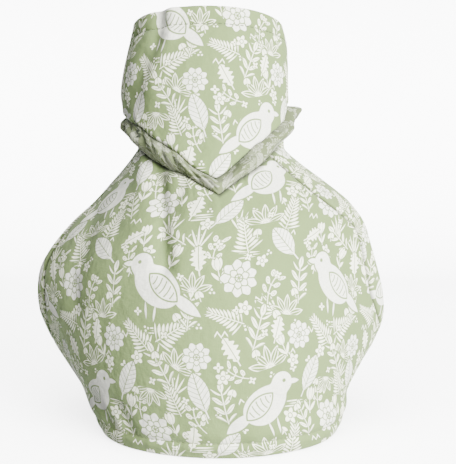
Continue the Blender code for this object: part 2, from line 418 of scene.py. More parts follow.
def crease_depth(z: Array, at: float) -> Array:
    """The stitched crease of a hem that runs round the cloth at one height, in mm."""
    return CREASE_DEPTH * bell(z - at, CREASE_WIDTH) + GROOVE_DEPTH * bell(z - at, GROOVE_WIDTH)


def hem_turning(z: Array, at: float) -> Array:
    """How much further in the inner face lies where the hem is turned below a crease, in mm."""
    return HEM_TURNING / (1 + np.exp((z - at) / HEM_STEP))


class Wall:
    """A wall of cloth given by its level sections."""

    def __init__(self, sections: Sequence[Section]) -> None:
        """Read the sections.

        Args:
            sections: Rows in rising order of height.
        """
        self.left = Curve(sections, "z", "left")
        self.right = Curve(sections, "z", "right")
        self.depth = Curve(sections, "z", "depth")
        self.pinch = Curve(sections, "z", "pinch")
        self.slit = Curve(sections, "z", "slit")

    def x_at(self, share: Array, z: Array) -> Array:
        """The X in mm of a share from -1 to 1 across the section at a height."""
        return blend(self.left.at(z), self.right.at(z), (share + 1) / 2)

    def point(self, share: Array, z: Array, side: Array | float, inward: Array | float,
              depth: float) -> Array:
        """Places on the cloth.

        Args:
            share: From -1 to 1 across the section.
            z: Height in mm.
            side: -1 in front and 1 behind.
            inward: How far folds and seams draw the cloth in there, in mm.
            depth: 0 on the outer face of the cloth and 1 on the inner one.

        Returns:
            Points in mm, with their coordinates in the last axis.
        """
        left, right = self.left.at(z), self.right.at(z)
        half, half_depth, slit = (right - left) / 2, self.depth.at(z), self.slit.at(z)
        rise = np.sqrt(np.clip(1 - share**2, 0.0, None))
        x = (left + right) / 2 + share * (half - depth * CLOTH)
        y = side * (slit + (half_depth - slit - depth * CLOTH) * rise ** self.pinch.at(z))
        out_x, out_y = share / half, side * rise / half_depth
        out = np.hypot(out_x, out_y)
        return np.stack(
            [x - out_x / out * inward, y - out_y / out * inward, z + np.zeros_like(x)], axis=-1
        )


class ClothMap:
    """Where each place of a wall was on the flat cloth, by lengths along the wall."""

    STEPS = 161

    def __init__(self, wall: Wall, low: float, high: float) -> None:
        """Measure the wall.

        Args:
            wall: The wall, taken without its folds.
            low: Height in mm where the measuring starts.
            high: Height in mm where it ends.
        """
        self.low, self.high = low, high
        shares = np.sin(np.radians(np.linspace(-90.0, 90.0, self.STEPS)))
        share, z = np.meshgrid(shares, np.linspace(low, high, self.STEPS))
        points = wall.point(share, z, 1.0, 0.0, 0.0)
        across = lengths(points, 1)
        self.across = across - across[:, self.STEPS // 2][:, None]
        self.along = lengths(points, 0)

    def at(self, share: Array, z: Array) -> Array:
        """Places on the flat cloth in mm, from the middle of its lower edge."""
        last = self.STEPS - 1
        column = (np.degrees(np.arcsin(np.clip(share, -1, 1))) + 90) / 180 * last
        row = np.clip((z - self.low) / (self.high - self.low), 0, 1) * last
        i = np.clip(column.astype(int), 0, last - 1)
        j = np.clip(row.astype(int), 0, last - 1)
        s, t = column - i, row - j

        def read(table: Array) -> Array:
            """One table at the wanted places."""
            low = blend(table[j, i], table[j, i + 1], s)
            return blend(low, blend(table[j + 1, i], table[j + 1, i + 1], s), t)

        return np.stack([read(self.across), read(self.along)], axis=-1)


@dataclass(frozen=True)
class Cut:
    """How a piece was laid on the printed cloth: turned in degrees and shifted in mm."""

    turn: float = 0.0
    shift: tuple[float, float] = (0.0, 0.0)

    def apply(self, flat: Array) -> Array:
        """Places on the printed cloth for places on the piece's own pattern."""
        c, s = math.cos(math.radians(self.turn)), math.sin(math.radians(self.turn))
        u, v = flat[..., 0], flat[..., 1]
        return np.stack([c * u - s * v + self.shift[0], s * u + c * v + self.shift[1]], axis=-1)


def edge_distances(points: Array, closed: bool) -> tuple[Array, Array]:
    """Distance in mm along the cloth to its nearest side edge, and to its top or bottom."""
    across, along = lengths(points, 1), lengths(points, 0)
    to_side = np.minimum(across, across[:, -1:] - across)
    to_end = np.minimum(along, along[-1:, :] - along)
    if closed:
        to_side = np.full_like(to_side, np.inf)
    return to_side, to_end


def edge_roll(to_side: Array, to_end: Array) -> Array:
    """Share of the cloth's thickness by which each face turns in at the rounded edges."""
    radius = CLOTH / 2
    over = np.hypot(np.clip(radius - to_side, 0, None), np.clip(radius - to_end, 0, None))
    return (radius - np.sqrt(np.clip(radius**2 - over**2, 0, None))) / CLOTH


def seam_dip(distance: Array) -> Array:
    """How far a seam draws the cloth in at a distance from it, in mm."""
    return SEAM_DIP * bell(distance, SEAM_DIP_WIDTH)


class BodyForm:
    """The shape of the body, which its panels, its facings and the band's lower edge share."""

    def __init__(self) -> None:
        """Read the body's tables."""
        self.wall = Wall(BODY_SECTIONS)
        self.top = Curve(NECK_V, "angle", "body", NECK_TIP)
        self.map = ClothMap(self.wall, 0.0, BODY_SECTIONS[-1].z)

    def spot(self, angle: Array, up: Array | float) -> tuple[Array, Array]:
        """Share across the section, and height in mm, for an angle and a share of the height."""
        across = np.sin(np.radians(angle))
        top = self.top.at(angle)
        left, right = self.wall.left.at(top), self.wall.right.at(top)
        last = BODY_SECTIONS[-1]
        top_x = blend(last.left, last.right, (across + 1) / 2)
        top_share = np.clip((2 * top_x - left - right) / (right - left), -1.0, 1.0)
        share = blend(across, top_share, up**EVEN_OUT)
        return share, up * BODY_SIDE + (top - BODY_SIDE) * up * up

    def inward(self, side: Array | float, angle: Array, share: Array, z: Array) -> Array:
        """How far folds, puckers and creases draw the body in at each place, in mm."""
        x = self.wall.x_at(share, z)
        front = fold_depth(FRONT_FOLDS, x, z)
        folds = np.where(np.less(side, 0), front, fold_depth(BACK_FOLDS, x, z))
        folds = folds * np.clip(z / HEM_CREASE, 0, 1) + crease_depth(z, HEM_CREASE)
        # Each half has its own part of the noise, so that the two crumple unalike.
        place = np.stack([x, 60.0 * side + np.zeros_like(x), z], axis=-1)
        uneven = sum(ripple.at(place) for ripple in BODY_RIPPLES)
        below_seam = np.clip(self.top.at(angle) - z, 0, None)
        along_seam = np.stack([x, 40.0 * side + np.zeros_like(x), below_seam / 5], axis=-1)
        puckers = BODY_PUCKERS.at(along_seam, below_seam)
        hem_waves = BODY_HEM_WAVES.at(place) * bell(z - HEM_CREASE, 6.0)
        rise = np.sqrt(np.clip(1 - share**2, 0, None))
        return (folds + uneven + puckers + hem_waves) * np.clip(rise / FOLD_RISE, 0, 1)

    def rim(self, angle: Array, depth: float) -> Array:
        """Points in mm of the body's upper edge all the way round, at 0 to 1 of its depth."""
        side, folded = half_at(angle), fold_back(angle)
        share, z = self.spot(folded, 1.0)
        inward = self.inward(side, folded, share, z) + SEAM_DIP
        return self.wall.point(share, z, side, inward, depth)


@dataclass
class Sheet:
    """A cut of cloth as a grid of points on both of its faces, ready to become a mesh.

    Attributes:
        outer: Points of the outer face in mm, a row for each height.
        inner: Points of the inner face in mm.
        flat: Places on the printed cloth in mm.
        painted_seam_shade: Painted shade by nearness to a seam, from 0 to 1 in the seam itself; it
            darkens the outer face's colour.
        closed: Whether the last column lies on the first.
        turned: Whether the grid runs the other way round, as seen from outside.
        hem: Which heights of the inner face show the right side of the turned hem.
        gathering: Length of the flat cloth over that of the gathered one.
    """

    outer: Array
    inner: Array
    flat: Array
    painted_seam_shade: Array
    closed: bool = False
    turned: bool = False
    hem: Callable[[Array], Array] | None = None
    gathering: float = 1.0

    def corners(self) -> tuple[Array, Array]:
        """Point numbers of the outer and of the inner face, where the two share their edges."""
        rows, columns = self.outer.shape[:2]
        outer = np.arange(rows * columns).reshape(rows, columns)
        inner = outer + rows * columns
        inner[[0, -1], :] = outer[[0, -1], :]
        if self.closed:
            outer[:, -1] = outer[:, 0]
            inner[:, -1] = inner[:, 0]
        else:
            inner[:, [0, -1]] = outer[:, [0, -1]]
        return outer, inner

    def build(self, name: str) -> bpy.types.Object:
        """Make the closed mesh of the sheet, with the flat cloth as its UV map.

        Args:
            name: Name of the piece.

        Returns:
            The piece, with its first material outside and its second one inside.
        """
        outer, inner = self.corners()
        out, back = quads(outer), quads(inner)
        uv = quads(np.arange(outer.size).reshape(outer.shape))
        uv_out, uv_back = uv, uv[:, ::-1]
        if self.turned:
            out, uv_out, uv_back = out[:, ::-1], uv[:, ::-1], uv
        else:
            back = back[:, ::-1]
        used, numbered = np.unique(np.concatenate([out, back]), return_inverse=True)
        points = np.concatenate([self.outer.reshape(-1, 3), self.inner.reshape(-1, 3)]) * MM
        mesh = bpy.data.meshes.new(name)
        mesh.from_pydata(points[used].tolist(), [], numbered.reshape(-1, 4).tolist())
        # The painted shade along the seams goes with the mesh as a point attribute; the inner face
        # gets none.
        shade = mesh.attributes.new("painted_seam_shade", "FLOAT", "POINT")
        painted_seam_shade = np.broadcast_to(self.painted_seam_shade, self.outer.shape[:2]).ravel()
        shade.data.foreach_set("value", np.concatenate([painted_seam_shade, 0 * painted_seam_shade])[used])
        layer = mesh.uv_layers.new(name="cloth")
        places = np.concatenate([uv_out, uv_back]).reshape(-1)
        layer.uv.foreach_set("vector", (self.flat.reshape(-1, 2)[places] * MM).ravel())
        reverse = np.ones(len(back), int)
        if self.hem is not None:
            reverse = (~self.hem(self.inner[:-1, :-1, 2].reshape(-1))).astype(int)
        mesh.polygons.foreach_set("material_index", np.concatenate([0 * reverse, reverse]))
        mesh.shade_smooth()
        mesh.validate()
        piece = bpy.data.objects.new(name, mesh)
        bpy.context.scene.collection.objects.link(piece)
        return piece

    def cut_size(self) -> tuple[float, float, float]:
        """Width, length and area of the flat cut, in metres and square metres."""
        across = self.outer[:-1, 1:] - self.outer[:-1, :-1]
        along = self.outer[1:, :-1] - self.outer[:-1, :-1]
        area = np.linalg.norm(np.cross(across, along), axis=-1).sum()
        width = lengths(self.outer, 1)[:, -1].max() * self.gathering
        length = lengths(self.outer, 0)[-1].max()
        return width * MM, length * MM, min(area * self.gathering, width * length) * MM**2


def quads(numbers: Array) -> Array:
    """The four corners of each cell of a grid of point numbers."""
    cells = [numbers[:-1, :-1], numbers[:-1, 1:], numbers[1:, 1:], numbers[1:, :-1]]
    return np.stack(cells, axis=-1).reshape(-1, 4)


def rolled(outer: Array, inner: Array, closed: bool) -> tuple[Array, Array]:
    """Both faces of a sheet with their edges rounded into each other."""
    roll = edge_roll(*edge_distances(outer, closed))[..., None]
    return blend(outer, inner, roll), blend(inner, outer, roll)


class Field:
    """A number that varies over the cloth: one output in a tree of shader nodes."""

    def __init__(self, desk: "Desk", socket: bpy.types.NodeSocket) -> None:
        """Wrap an output.

        Args:
            desk: The desk that wrote its node.
            socket: The output itself.
        """
        self.desk = desk
        self.socket = socket

    def __add__(self, other: "Field | float") -> "Field":
        """The sum."""
        return self.desk.number("ADD", self, other)

    def __sub__(self, other: "Field | float") -> "Field":
        """The difference."""
        return self.desk.number("SUBTRACT", self, other)

    def __rsub__(self, other: "Field | float") -> "Field":
        """The difference, with this field taken away."""
        return self.desk.number("SUBTRACT", other, self)

    def __mul__(self, other: "Field | float") -> "Field":
        """The product."""
        return self.desk.number("MULTIPLY", self, other)

    def __neg__(self) -> "Field":
        """The same with the other sign."""
        return self.desk.number("MULTIPLY", self, -1.0)

    def __abs__(self) -> "Field":
        """The size without the sign."""
        return self.desk.number("ABSOLUTE", self)

    __radd__ = __add__
    __rmul__ = __mul__

    def scaled(self, factor: "Field | float", offset: "Field | float") -> "Field":
        """This field times a factor, plus an offset."""
        return self.desk.number("MULTIPLY_ADD", self, factor, offset)

    def join(self, other: "Field | float") -> "Field":
        """The shape that is inside either of two shapes."""
        return self.desk.number("MAXIMUM", self, other)

    def within(self, other: "Field | float") -> "Field":
        """The shape that is inside both of two shapes."""
        return self.desk.number("MINIMUM", self, other)

    def without_line(self, line: "Field", width: float) -> "Field":
        """This shape with a bare line of a width where another field is 0."""
        return self.within(abs(line) - width / 2)

    def outline(self, width: float) -> "Field":
        """A line of a width just inside the edge of this shape."""
        return width / 2 - abs(self - width / 2)


class Desk:
    """Writes fields and places into a tree of shader nodes, in the order of their use."""

    def __init__(self, tree: bpy.types.NodeTree) -> None:
        """Start on a tree.

        Args:
            tree: The tree that the nodes go into.
        """
        self.tree = tree

    def node(self, kind: str, values: Sequence[object], **settings: object) -> bpy.types.Node:
        """Add a node.

        Args:
            kind: Type of the node.
            values: For each of its first inputs, a field, a socket or a constant.
            settings: Properties of the node.

        Returns:
            The node.
        """
        node = self.tree.nodes.new(kind)
        for key, value in settings.items():
            setattr(node, key, value)
        for socket, value in zip(node.inputs, values, strict=False):
            self.feed(socket, value)
        return node

    def feed(self, socket: bpy.types.NodeSocket, value: object) -> None:
        """Link a field or socket to an input, or set a constant on it."""
        if isinstance(value, Field):
            value = value.socket
        if isinstance(value, bpy.types.NodeSocket):
            self.tree.links.new(value, socket)
        elif value is not None:
            socket.default_value = value

    def number(self, operation: str, *values: object) -> Field:
        """The field that a Math node gives."""
        return Field(self, self.node("ShaderNodeMath", values, operation=operation).outputs[0])

    def vector(self, operation: str, *values: object) -> bpy.types.NodeSocket:
        """The place that a Vector Math node gives."""
        return self.node("ShaderNodeVectorMath", values, operation=operation).outputs["Vector"]

    def measure(self, operation: str, *values: object) -> Field:
        """The length or distance that a Vector Math node gives."""
        node = self.node("ShaderNodeVectorMath", values, operation=operation)
        return Field(self, node.outputs["Value"])

    def cloud(self, place: bpy.types.NodeSocket, scale: float, detail: float) -> Field:
        """Noise from 0 to 1, with lumps of a size of 1 / scale."""
        node = self.node("ShaderNodeTexNoise", [place])
        node.inputs["Scale"].default_value = scale
        node.inputs["Detail"].default_value = detail
        return Field(self, node.outputs[0])

    def mix(self, share: Field, first: object, second: object) -> bpy.types.NodeSocket:
        """The colour a share of the way from one colour to another."""
        node = self.node("ShaderNodeMix", [share], data_type="RGBA")
        self.feed(node.inputs[6], first)
        self.feed(node.inputs[7], second)
        return node.outputs[2]

    def split(self, place: bpy.types.NodeSocket) -> tuple[Field, Field, Field]:
        """The three coordinates of a place."""
        return tuple(Field(self, s) for s in self.node("ShaderNodeSeparateXYZ", [place]).outputs)

    def local(self, place: bpy.types.NodeSocket, at: tuple[float, float], turn: float,
              size: tuple[float, float] = (1.0, 1.0)) -> bpy.types.NodeSocket:
        """The place as seen from a spot that is turned by degrees and scaled."""
        spot, tilt = (*at, 0.0), (0.0, 0.0, math.radians(turn))
        values = [place, spot, tilt, (*size, 1.0)]
        return self.node("ShaderNodeMapping", values, vector_type="TEXTURE").outputs[0]

    def disc(self, place: bpy.types.NodeSocket, at: tuple[float, float], radius: float) -> Field:
        """A disc."""
        return radius - self.measure("DISTANCE", place, (*at, 0.0))

    def ellipse(self, place: bpy.types.NodeSocket, at: tuple[float, float], turn: float,
                long: float, wide: float) -> Field:
        """An ellipse of two half axes, the first one turned from X."""
        inside = self.measure("LENGTH", self.local(place, at, turn, (long, wide)))
        return inside.scaled(-wide, wide)

    def lens(self, place: bpy.types.NodeSocket, at: tuple[float, float], turn: float,
             long: float, wide: float) -> Field:
        """A pointed leaf of a half length, turned from Y, and a half width."""
        radius = (long**2 + wide**2) / (2 * wide)
        quarter = self.vector("ABSOLUTE", self.local(place, at, turn))
        return self.disc(quarter, (wide - radius, 0.0), radius)

    def turned(self, place: bpy.types.NodeSocket, angle: Field) -> bpy.types.NodeSocket:
        """The place as seen from a middle that is turned by an angle in radians."""
        node = self.node("ShaderNodeVectorRotate", [place], rotation_type="Z_AXIS", invert=True)
        self.feed(node.inputs["Angle"], angle)
        return node.outputs[0]

    def polar(self, place: bpy.types.NodeSocket) -> tuple[Field, Field]:
        """The angle of a place in radians, and its distance from the middle."""
        x, y, _ = self.split(place)
        return self.number("ARCTAN2", y, x), self.measure("LENGTH", place)

    def lobed(self, angle: Field, count: int, wave: float, radius: float) -> Field:
        """How far the edge of a flower is from its middle, with a number of round petals."""
        return self.number("COSINE", angle * float(count)).scaled(wave, radius)

    def partings(self, angle: Field, away: Field, count: int) -> Field:
        """Distance from the lines between that number of petals."""
        return abs(self.number("COSINE", angle * (count / 2))) * away * (2 / count)

    def halved(self, place: bpy.types.NodeSocket) -> bpy.types.NodeSocket:
        """The place on the right-hand half of a symmetric motif."""
        x, y, _ = self.split(place)
        return self.place(abs(x), y)

    def place(self, x: Field, y: Field) -> bpy.types.NodeSocket:
        """The place with two coordinates."""
        return self.node("ShaderNodeCombineXYZ", [x, y]).outputs[0]


@dataclass(frozen=True)
class Spot:
    """Where a motif is printed in the repeat, in mm, its turn in degrees and its size.

    Size is a step of -1 smaller, 0 or 1 larger; on a bird 1 is a mirrored one.
    """

    u: float
    v: float
    turn: float = 0.0
    size: int = 0


class Motif:
    """One kind of motif of the print. Its shape is drawn upright round (0, 0), in mm.

    Attributes:
        spots: Where it is printed in the repeat.
        scale: Its printed size over its drawn one.
        copies: How often its own repeat fits into the print's, both ways.
        mirrors: Whether a spot's size says that it is a mirrored one.
    """

    spots: tuple[Spot, ...] = ()
    scale = 0.8
    copies = 1
    mirrors = False

    def draw(self, desk: Desk, place: bpy.types.NodeSocket) -> Field:
        """The motif's shape: above 0 inside, and in mm from its edge."""
        raise NotImplementedError


def stem(desk: Desk, x: Field, y: Field, low: float, high: float, width: float) -> Field:
    """An upright stroke along x = 0 between two heights."""
    return (width / 2 - abs(x)).within((high - low) / 2 - abs(y - (high + low) / 2))


def leaflets(desk: Desk, x: Field, y: Field, pitch: float, tilt: float, far: float,
             wide: float) -> tuple[Field, Field, Field]:
    """Pairs of pointed leaflets along x = 0.

    Args:
        desk: Where the nodes go.
        x: Distance from the stem, both sides alike.
        y: Height along it.
        pitch: Height between pairs.
        tilt: Rise of a leaflet for each mm out.
        far: Length of a leaflet.
        wide: Its half width.

    Returns:
        The leaflets' shape, the height along the stem where each starts, and the distance
        from its midrib.
    """
    start = x.scaled(-tilt, y)
    rib = abs(desk.number("WRAP", start, pitch / 2, -pitch / 2))
    along = x.scaled(2 / far, -1.0)
    return (along * along).scaled(-wide, wide) - rib, start, rib


class Bird(Motif):
    """A plump standing bird with a folded wing."""

    spots = (Spot(27, 30, 4, 0), Spot(72, 88, -6, 1))
    scale = 1.2
    mirrors = True

    def draw(self, desk: Desk, place: bpy.types.NodeSocket) -> Field:
        """The bird, looking right."""
        body = desk.ellipse(place, (-0.5, -1), 28, 10.4, 7.6)
        head = desk.disc(place, (7.6, 7.2), 4.7)
        shape = desk.number("SMOOTH_MAX", body, head, 2.5)
        shape = shape.join(desk.lens(place, (-12.5, -7.0), -58, 7.6, 2.3))
        shape = shape.join(desk.lens(place, (13.0, 7.0), 84, 3.0, 1.1))
        wing = desk.lens(place, (-3.2, -1.2), -52, 7.8, 3.9)
        shape = shape.without_line(wing, 0.7)
        feather = desk.disc(place, (4.0, 3.0), 0.0)
        quills = desk.number("WRAP", feather, 1.1, -1.1)
        shape = shape.within(-(0.25 - abs(quills)).within(wing - 0.9))
        shape = shape.within(-desk.disc(place, (8.6, 8.0), 0.85))
        shape = shape.join(desk.lens(place, (-0.2, -11.6), 6, 3.4, 0.45))
        return shape.join(desk.lens(place, (3.6, -10.8), -6, 3.4, 0.45))


class Rosette(Motif):
    """A large double blossom."""

    spots = (Spot(66, 16, 0, 1), Spot(16, 90, 20, 1), Spot(46, 62, 10, -1), Spot(90, 54, 30, -1))

    def draw(self, desk: Desk, place: bpy.types.NodeSocket) -> Field:
        """Nine outer petals, six inner ones and a ring of seeds."""
        angle, away = desk.polar(place)
        outer = desk.lobed(angle, 9, 0.9, 8.8) - away
        inner = desk.lobed(angle, 6, 0.7, 4.9) - away
        shape = outer.within(desk.partings(angle, away, 9).join(inner) - 0.3)
        shape = shape.without_line(inner, 0.7)
        shape = shape.within(desk.partings(angle, away, 6).join(-inner) - 0.25)
        return shape.without_line(away - 2.0, 0.7)


class BroadLeaf(Motif):
    """A large solid leaf with bare veins."""

    spots = (Spot(53, 41, -24, 0), Spot(91, 36, 16, 0), Spot(38, 107, 48, 0), Spot(5, 8, -40, -1))

    def draw(self, desk: Desk, place: bpy.types.NodeSocket) -> Field:
        """The leaf on its stalk."""
        blade = desk.lens(place, (0, 1.5), 0, 12.5, 5.9)
        x, y, _ = desk.split(place)
        side = abs(x)
        veins = desk.number("WRAP", side.scaled(-0.85, y), 1.7, -1.7)
        blade = blade.without_line(veins, 0.45)
        return blade.without_line(side, 0.6).join(stem(desk, x, y, -15.5, -9, 0.8))


class LobedLeaf(Motif):
    """A solid leaf with round lobes."""

    spots = (Spot(10, 57, 30, 0), Spot(85, 13, -15, 0), Spot(56, 112, -60, -1),
             Spot(92, 100, 10, 0), Spot(34, 66, -20, -1))

    def draw(self, desk: Desk, place: bpy.types.NodeSocket) -> Field:
        """The leaf on its stalk."""
        x, y, _ = desk.split(place)
        along = y * (1 / 8.4)
        lobes = desk.number("COSINE", y * 1.9).scaled(0.24, 0.8)
        side = abs(x)
        blade = (along * along).scaled(-5.0, 5.0) * lobes - side
        blade = blade.without_line(side, 0.5)
        return blade.join(stem(desk, x, y, -11, -7, 0.7))


class Sprig(Motif):
    """Pairs of slit leaves up a stem, with one at its tip."""

    spots = (Spot(6, 31, 8, 0), Spot(48, 88, -8, 0), Spot(24, 66, -20, 0), Spot(72, 50, 28, 0),
             Spot(76, 112, 60, -1), Spot(48, 18, 12, -1), Spot(88, 76, -10, -1))

    def draw(self, desk: Desk, place: bpy.types.NodeSocket) -> Field:
        """The sprig, its leaves pointing up."""
        x, y, _ = desk.split(place)
        side = abs(x)
        leaves, start, rib = leaflets(desk, side, y, 6.2, 0.85, 6.4, 1.75)
        leaves = leaves.without_line(rib, 0.4).within(9.3 - abs(start + 3.4))
        shape = leaves.join(stem(desk, x, y, -14, 10, 0.6))
        return shape.join(desk.lens(place, (0, 11.5), 0, 3.9, 1.7).without_line(x, 0.4))


class Fern(Motif):
    """A frond of narrow leaflets that get shorter to its tip."""

    spots = (Spot(39, 8, -14, 0), Spot(16, 112, 20, 0), Spot(80, 66, -62, 0), Spot(8, 72, 70, -1),
             Spot(60, 64, 40, -1), Spot(78, 34, 20, -1))

    def draw(self, desk: Desk, place: bpy.types.NodeSocket) -> Field:
        """The frond, its tip up."""
        x, y, _ = desk.split(place)
        taper = y.scaled(0.06, 1.1)
        side = abs(x) * taper
        leaves, start, _ = leaflets(desk, side, y, 2.5, 0.75, 6.0, 0.85)
        leaves = leaves.within(11.0 - abs(start + 1.5))
        return leaves.join(stem(desk, x, y, -14, 12, 0.6))


class BerryBranch(Motif):
    """Pairs of round berries on a bent stem."""

    spots = (Spot(88, 24, 12, 0), Spot(32, 86, -30, 0), Spot(12, 45, 62, -1), Spot(3, 104, -8, 0),
             Spot(56, 100, 15, -1), Spot(60, 30, -14, 0))

    def draw(self, desk: Desk, place: bpy.types.NodeSocket) -> Field:
        """The branch, with short stalks."""
        x, y, _ = desk.split(place)
        bent = (y * y).scaled(-0.022, x)
        side = abs(bent)
        start = side.scaled(-0.6, y)
        rib = desk.number("WRAP", start, 2.7, -2.7)
        berry = desk.disc(desk.place(side, rib), (3.3, 0.0), 1.75)
        berry = berry.without_line(berry - 0.95, 0.35)
        stalk = (0.25 - abs(rib)).within(2.6 - side)
        shape = berry.join(stalk).within(8.0 - abs(start + 1.0))
        return shape.join(stem(desk, bent, y, -11, 7, 0.55))


class LeafFan(Motif):
    """Outlined leaves that spread from one point."""

    spots = (Spot(24, 6, 10, 0), Spot(82, 52, -35, -1), Spot(66, 34, 170, -1), Spot(28, 52, 15, 0),
             Spot(40, 76, -8, -1), Spot(90, 88, 0, -1))

    def draw(self, desk: Desk, place: bpy.types.NodeSocket) -> Field:
        """Five leaves in a half round."""
        x, y, _ = desk.split(desk.local(place, (0, -6), 0))
        angle = desk.number("ARCTAN2", x, y)
        away = desk.measure("LENGTH", desk.place(x, y))
        sector = desk.number("WRAP", angle, 0.31, -0.31)
        across = desk.number("SINE", sector) * away
        leaf = desk.lens(desk.place(across, away), (0, 7.6), 0, 6.4, 2.3)
        leaf = leaf.outline(0.6).join(0.22 - abs(across)).within(leaf)
        leaf = leaf.join((0.3 - abs(across)).within(2.2 - away))
        return leaf.within((1.5 - abs(angle)) * 3.0)


class Daisy(Motif):
    """A solid flower of five lobes."""

    spots = (Spot(40, 21, 0, 1), Spot(60, 53, 30, 0), Spot(18, 76, 0, 0), Spot(92, 2, 20, 0),
             Spot(66, 104, 0, 0), Spot(42, 50, 40, 0), Spot(6, 44, 15, 0), Spot(27, 98, 0, -1))

    def draw(self, desk: Desk, place: bpy.types.NodeSocket) -> Field:
        """The flower, with a bare ring round its centre."""
        angle, away = desk.polar(place)
        shape = desk.lobed(angle, 5, 0.85, 3.5) - away
        shape = shape.within(desk.partings(angle, away, 5).join(2.4 - away) - 0.25)
        return shape.without_line(away - 1.35, 0.55)


class SmallFlower(Motif):
    """A flower of four petals."""

    spots = (Spot(14, 17, 0, 0), Spot(36, 33, 20, 0), Spot(27, 6, 45, 0), Spot(42, 46, 10, 0),
             Spot(4, 49, 0, 1), Spot(20, 42, 30, 0))
    copies = 2

    def draw(self, desk: Desk, place: bpy.types.NodeSocket) -> Field:
        """The flower, with a bare centre."""
        angle, away = desk.polar(place)
        return (desk.lobed(angle, 4, 0.75, 1.75) - away).within(away - 0.5)


class Tulip(Motif):
    """A closed cup on a stem with two leaves."""

    spots = (Spot(54, 27, -10, 0), Spot(36, 58, 24, -1), Spot(6, 94, 14, -1), Spot(62, 113, 8, -1),
             Spot(80, 101, -20, -1), Spot(76, 20, 10, -1))

    def draw(self, desk: Desk, place: bpy.types.NodeSocket) -> Field:
        """The flower."""
        half = desk.halved(place)
        x, y, _ = desk.split(place)
        side = desk.lens(half, (1.7, 4.2), -12, 4.4, 1.7)
        middle = desk.lens(place, (0, 4.4), 0, 4.8, 1.7)
        cup = side.within(-0.3 - middle).join(middle)
        leaf = desk.lens(half, (2.5, -4.0), -34, 4.2, 1.05)
        return cup.join(leaf).join(stem(desk, x, y, -9, 1, 0.6))


class GrassTuft(Motif):
    """Long tapering strokes that spread upwards."""

    spots = (Spot(74, 3, 0, 0), Spot(90, 110, 10, 0), Spot(30, 76, 60, -1), Spot(80, 40, -14, -1),
             Spot(12, 3, 0, -1))

    def draw(self, desk: Desk, place: bpy.types.NodeSocket) -> Field:
        """Five strokes."""
        half = desk.halved(place)
        tall = desk.lens(place, (0, 1), 0, 8.5, 0.6)
        slanted = desk.lens(half, (2.2, 0.2), -17, 7.6, 0.6)
        return tall.join(slanted).join(desk.lens(half, (4.2, -1.6), -38, 6.2, 0.55))


class HeartLeaf(Motif):
    """A small heart on a stalk."""

    spots = (Spot(34, 14, 30, 0), Spot(10, 36, -20, 0), Spot(22, 54, 10, 0), Spot(45, 24, 15, 0))
    copies = 2

    def draw(self, desk: Desk, place: bpy.types.NodeSocket) -> Field:
        """The leaf."""
        half = desk.halved(place)
        x, y, _ = desk.split(half)
        blade = desk.lens(half, (0.95, 0.9), 32, 2.5, 1.35)
        return blade.without_line(x, 0.3).join(stem(desk, x, y, -3.4, 0, 0.45))


class Ticks(Motif):
    """A small zigzag stroke."""

    spots = (Spot(6, 6, 0, 0), Spot(26, 22, 20, 0), Spot(40, 54, 0, 0), Spot(16, 32, 10, 0))
    copies = 2
    scale = 1.15

    def draw(self, desk: Desk, place: bpy.types.NodeSocket) -> Field:
        """Two peaks."""
        x, y, _ = desk.split(place)
        rise = desk.number("PINGPONG", abs(x), 1.5)
        return (0.42 - abs(rise.scaled(-1.5, y) + 1.0)).within(2.7 - abs(x))


class Strokes(Motif):
    """Three level brush strokes, one above the other."""

    spots = (Spot(71, 66, 0, 0), Spot(20, 101, 5, 0), Spot(43, 27, -4, 1), Spot(88, 6, 3, 1))

    def draw(self, desk: Desk, place: bpy.types.NodeSocket) -> Field:
        """The strokes, pointed at both ends."""
        lines = ((0.0, 1.5, 6.5, 0.42), (1.8, 0.0, 5.0, 0.34), (-1.2, -1.4, 5.6, 0.38))
        shapes = [desk.lens(place, (x, y), 90, long, wide) for x, y, long, wide in lines]
        return shapes[0].join(shapes[1]).join(shapes[2])


class Dots(Motif):
    """Three dots."""

    spots = (Spot(3, 26, 0, 0), Spot(30, 44, 20, 0), Spot(44, 10, 0, 0), Spot(18, 9, 40, 0))
    copies = 2

    def draw(self, desk: Desk, place: bpy.types.NodeSocket) -> Field:
        """The dots, in a triangle."""
        half = desk.halved(place)
        return desk.disc(half, (1.15, -0.7), 0.68).join(desk.disc(half, (0, 1.2), 0.68))


LARGE_MOTIFS = (Bird(), Rosette(), BroadLeaf())
FINE_MOTIFS = (LobedLeaf(), Daisy(), Tulip(), SmallFlower(), HeartLeaf(), LeafFan(),
               BerryBranch(), Sprig(), Fern(), GrassTuft(), Dots(), Ticks(), Strokes())


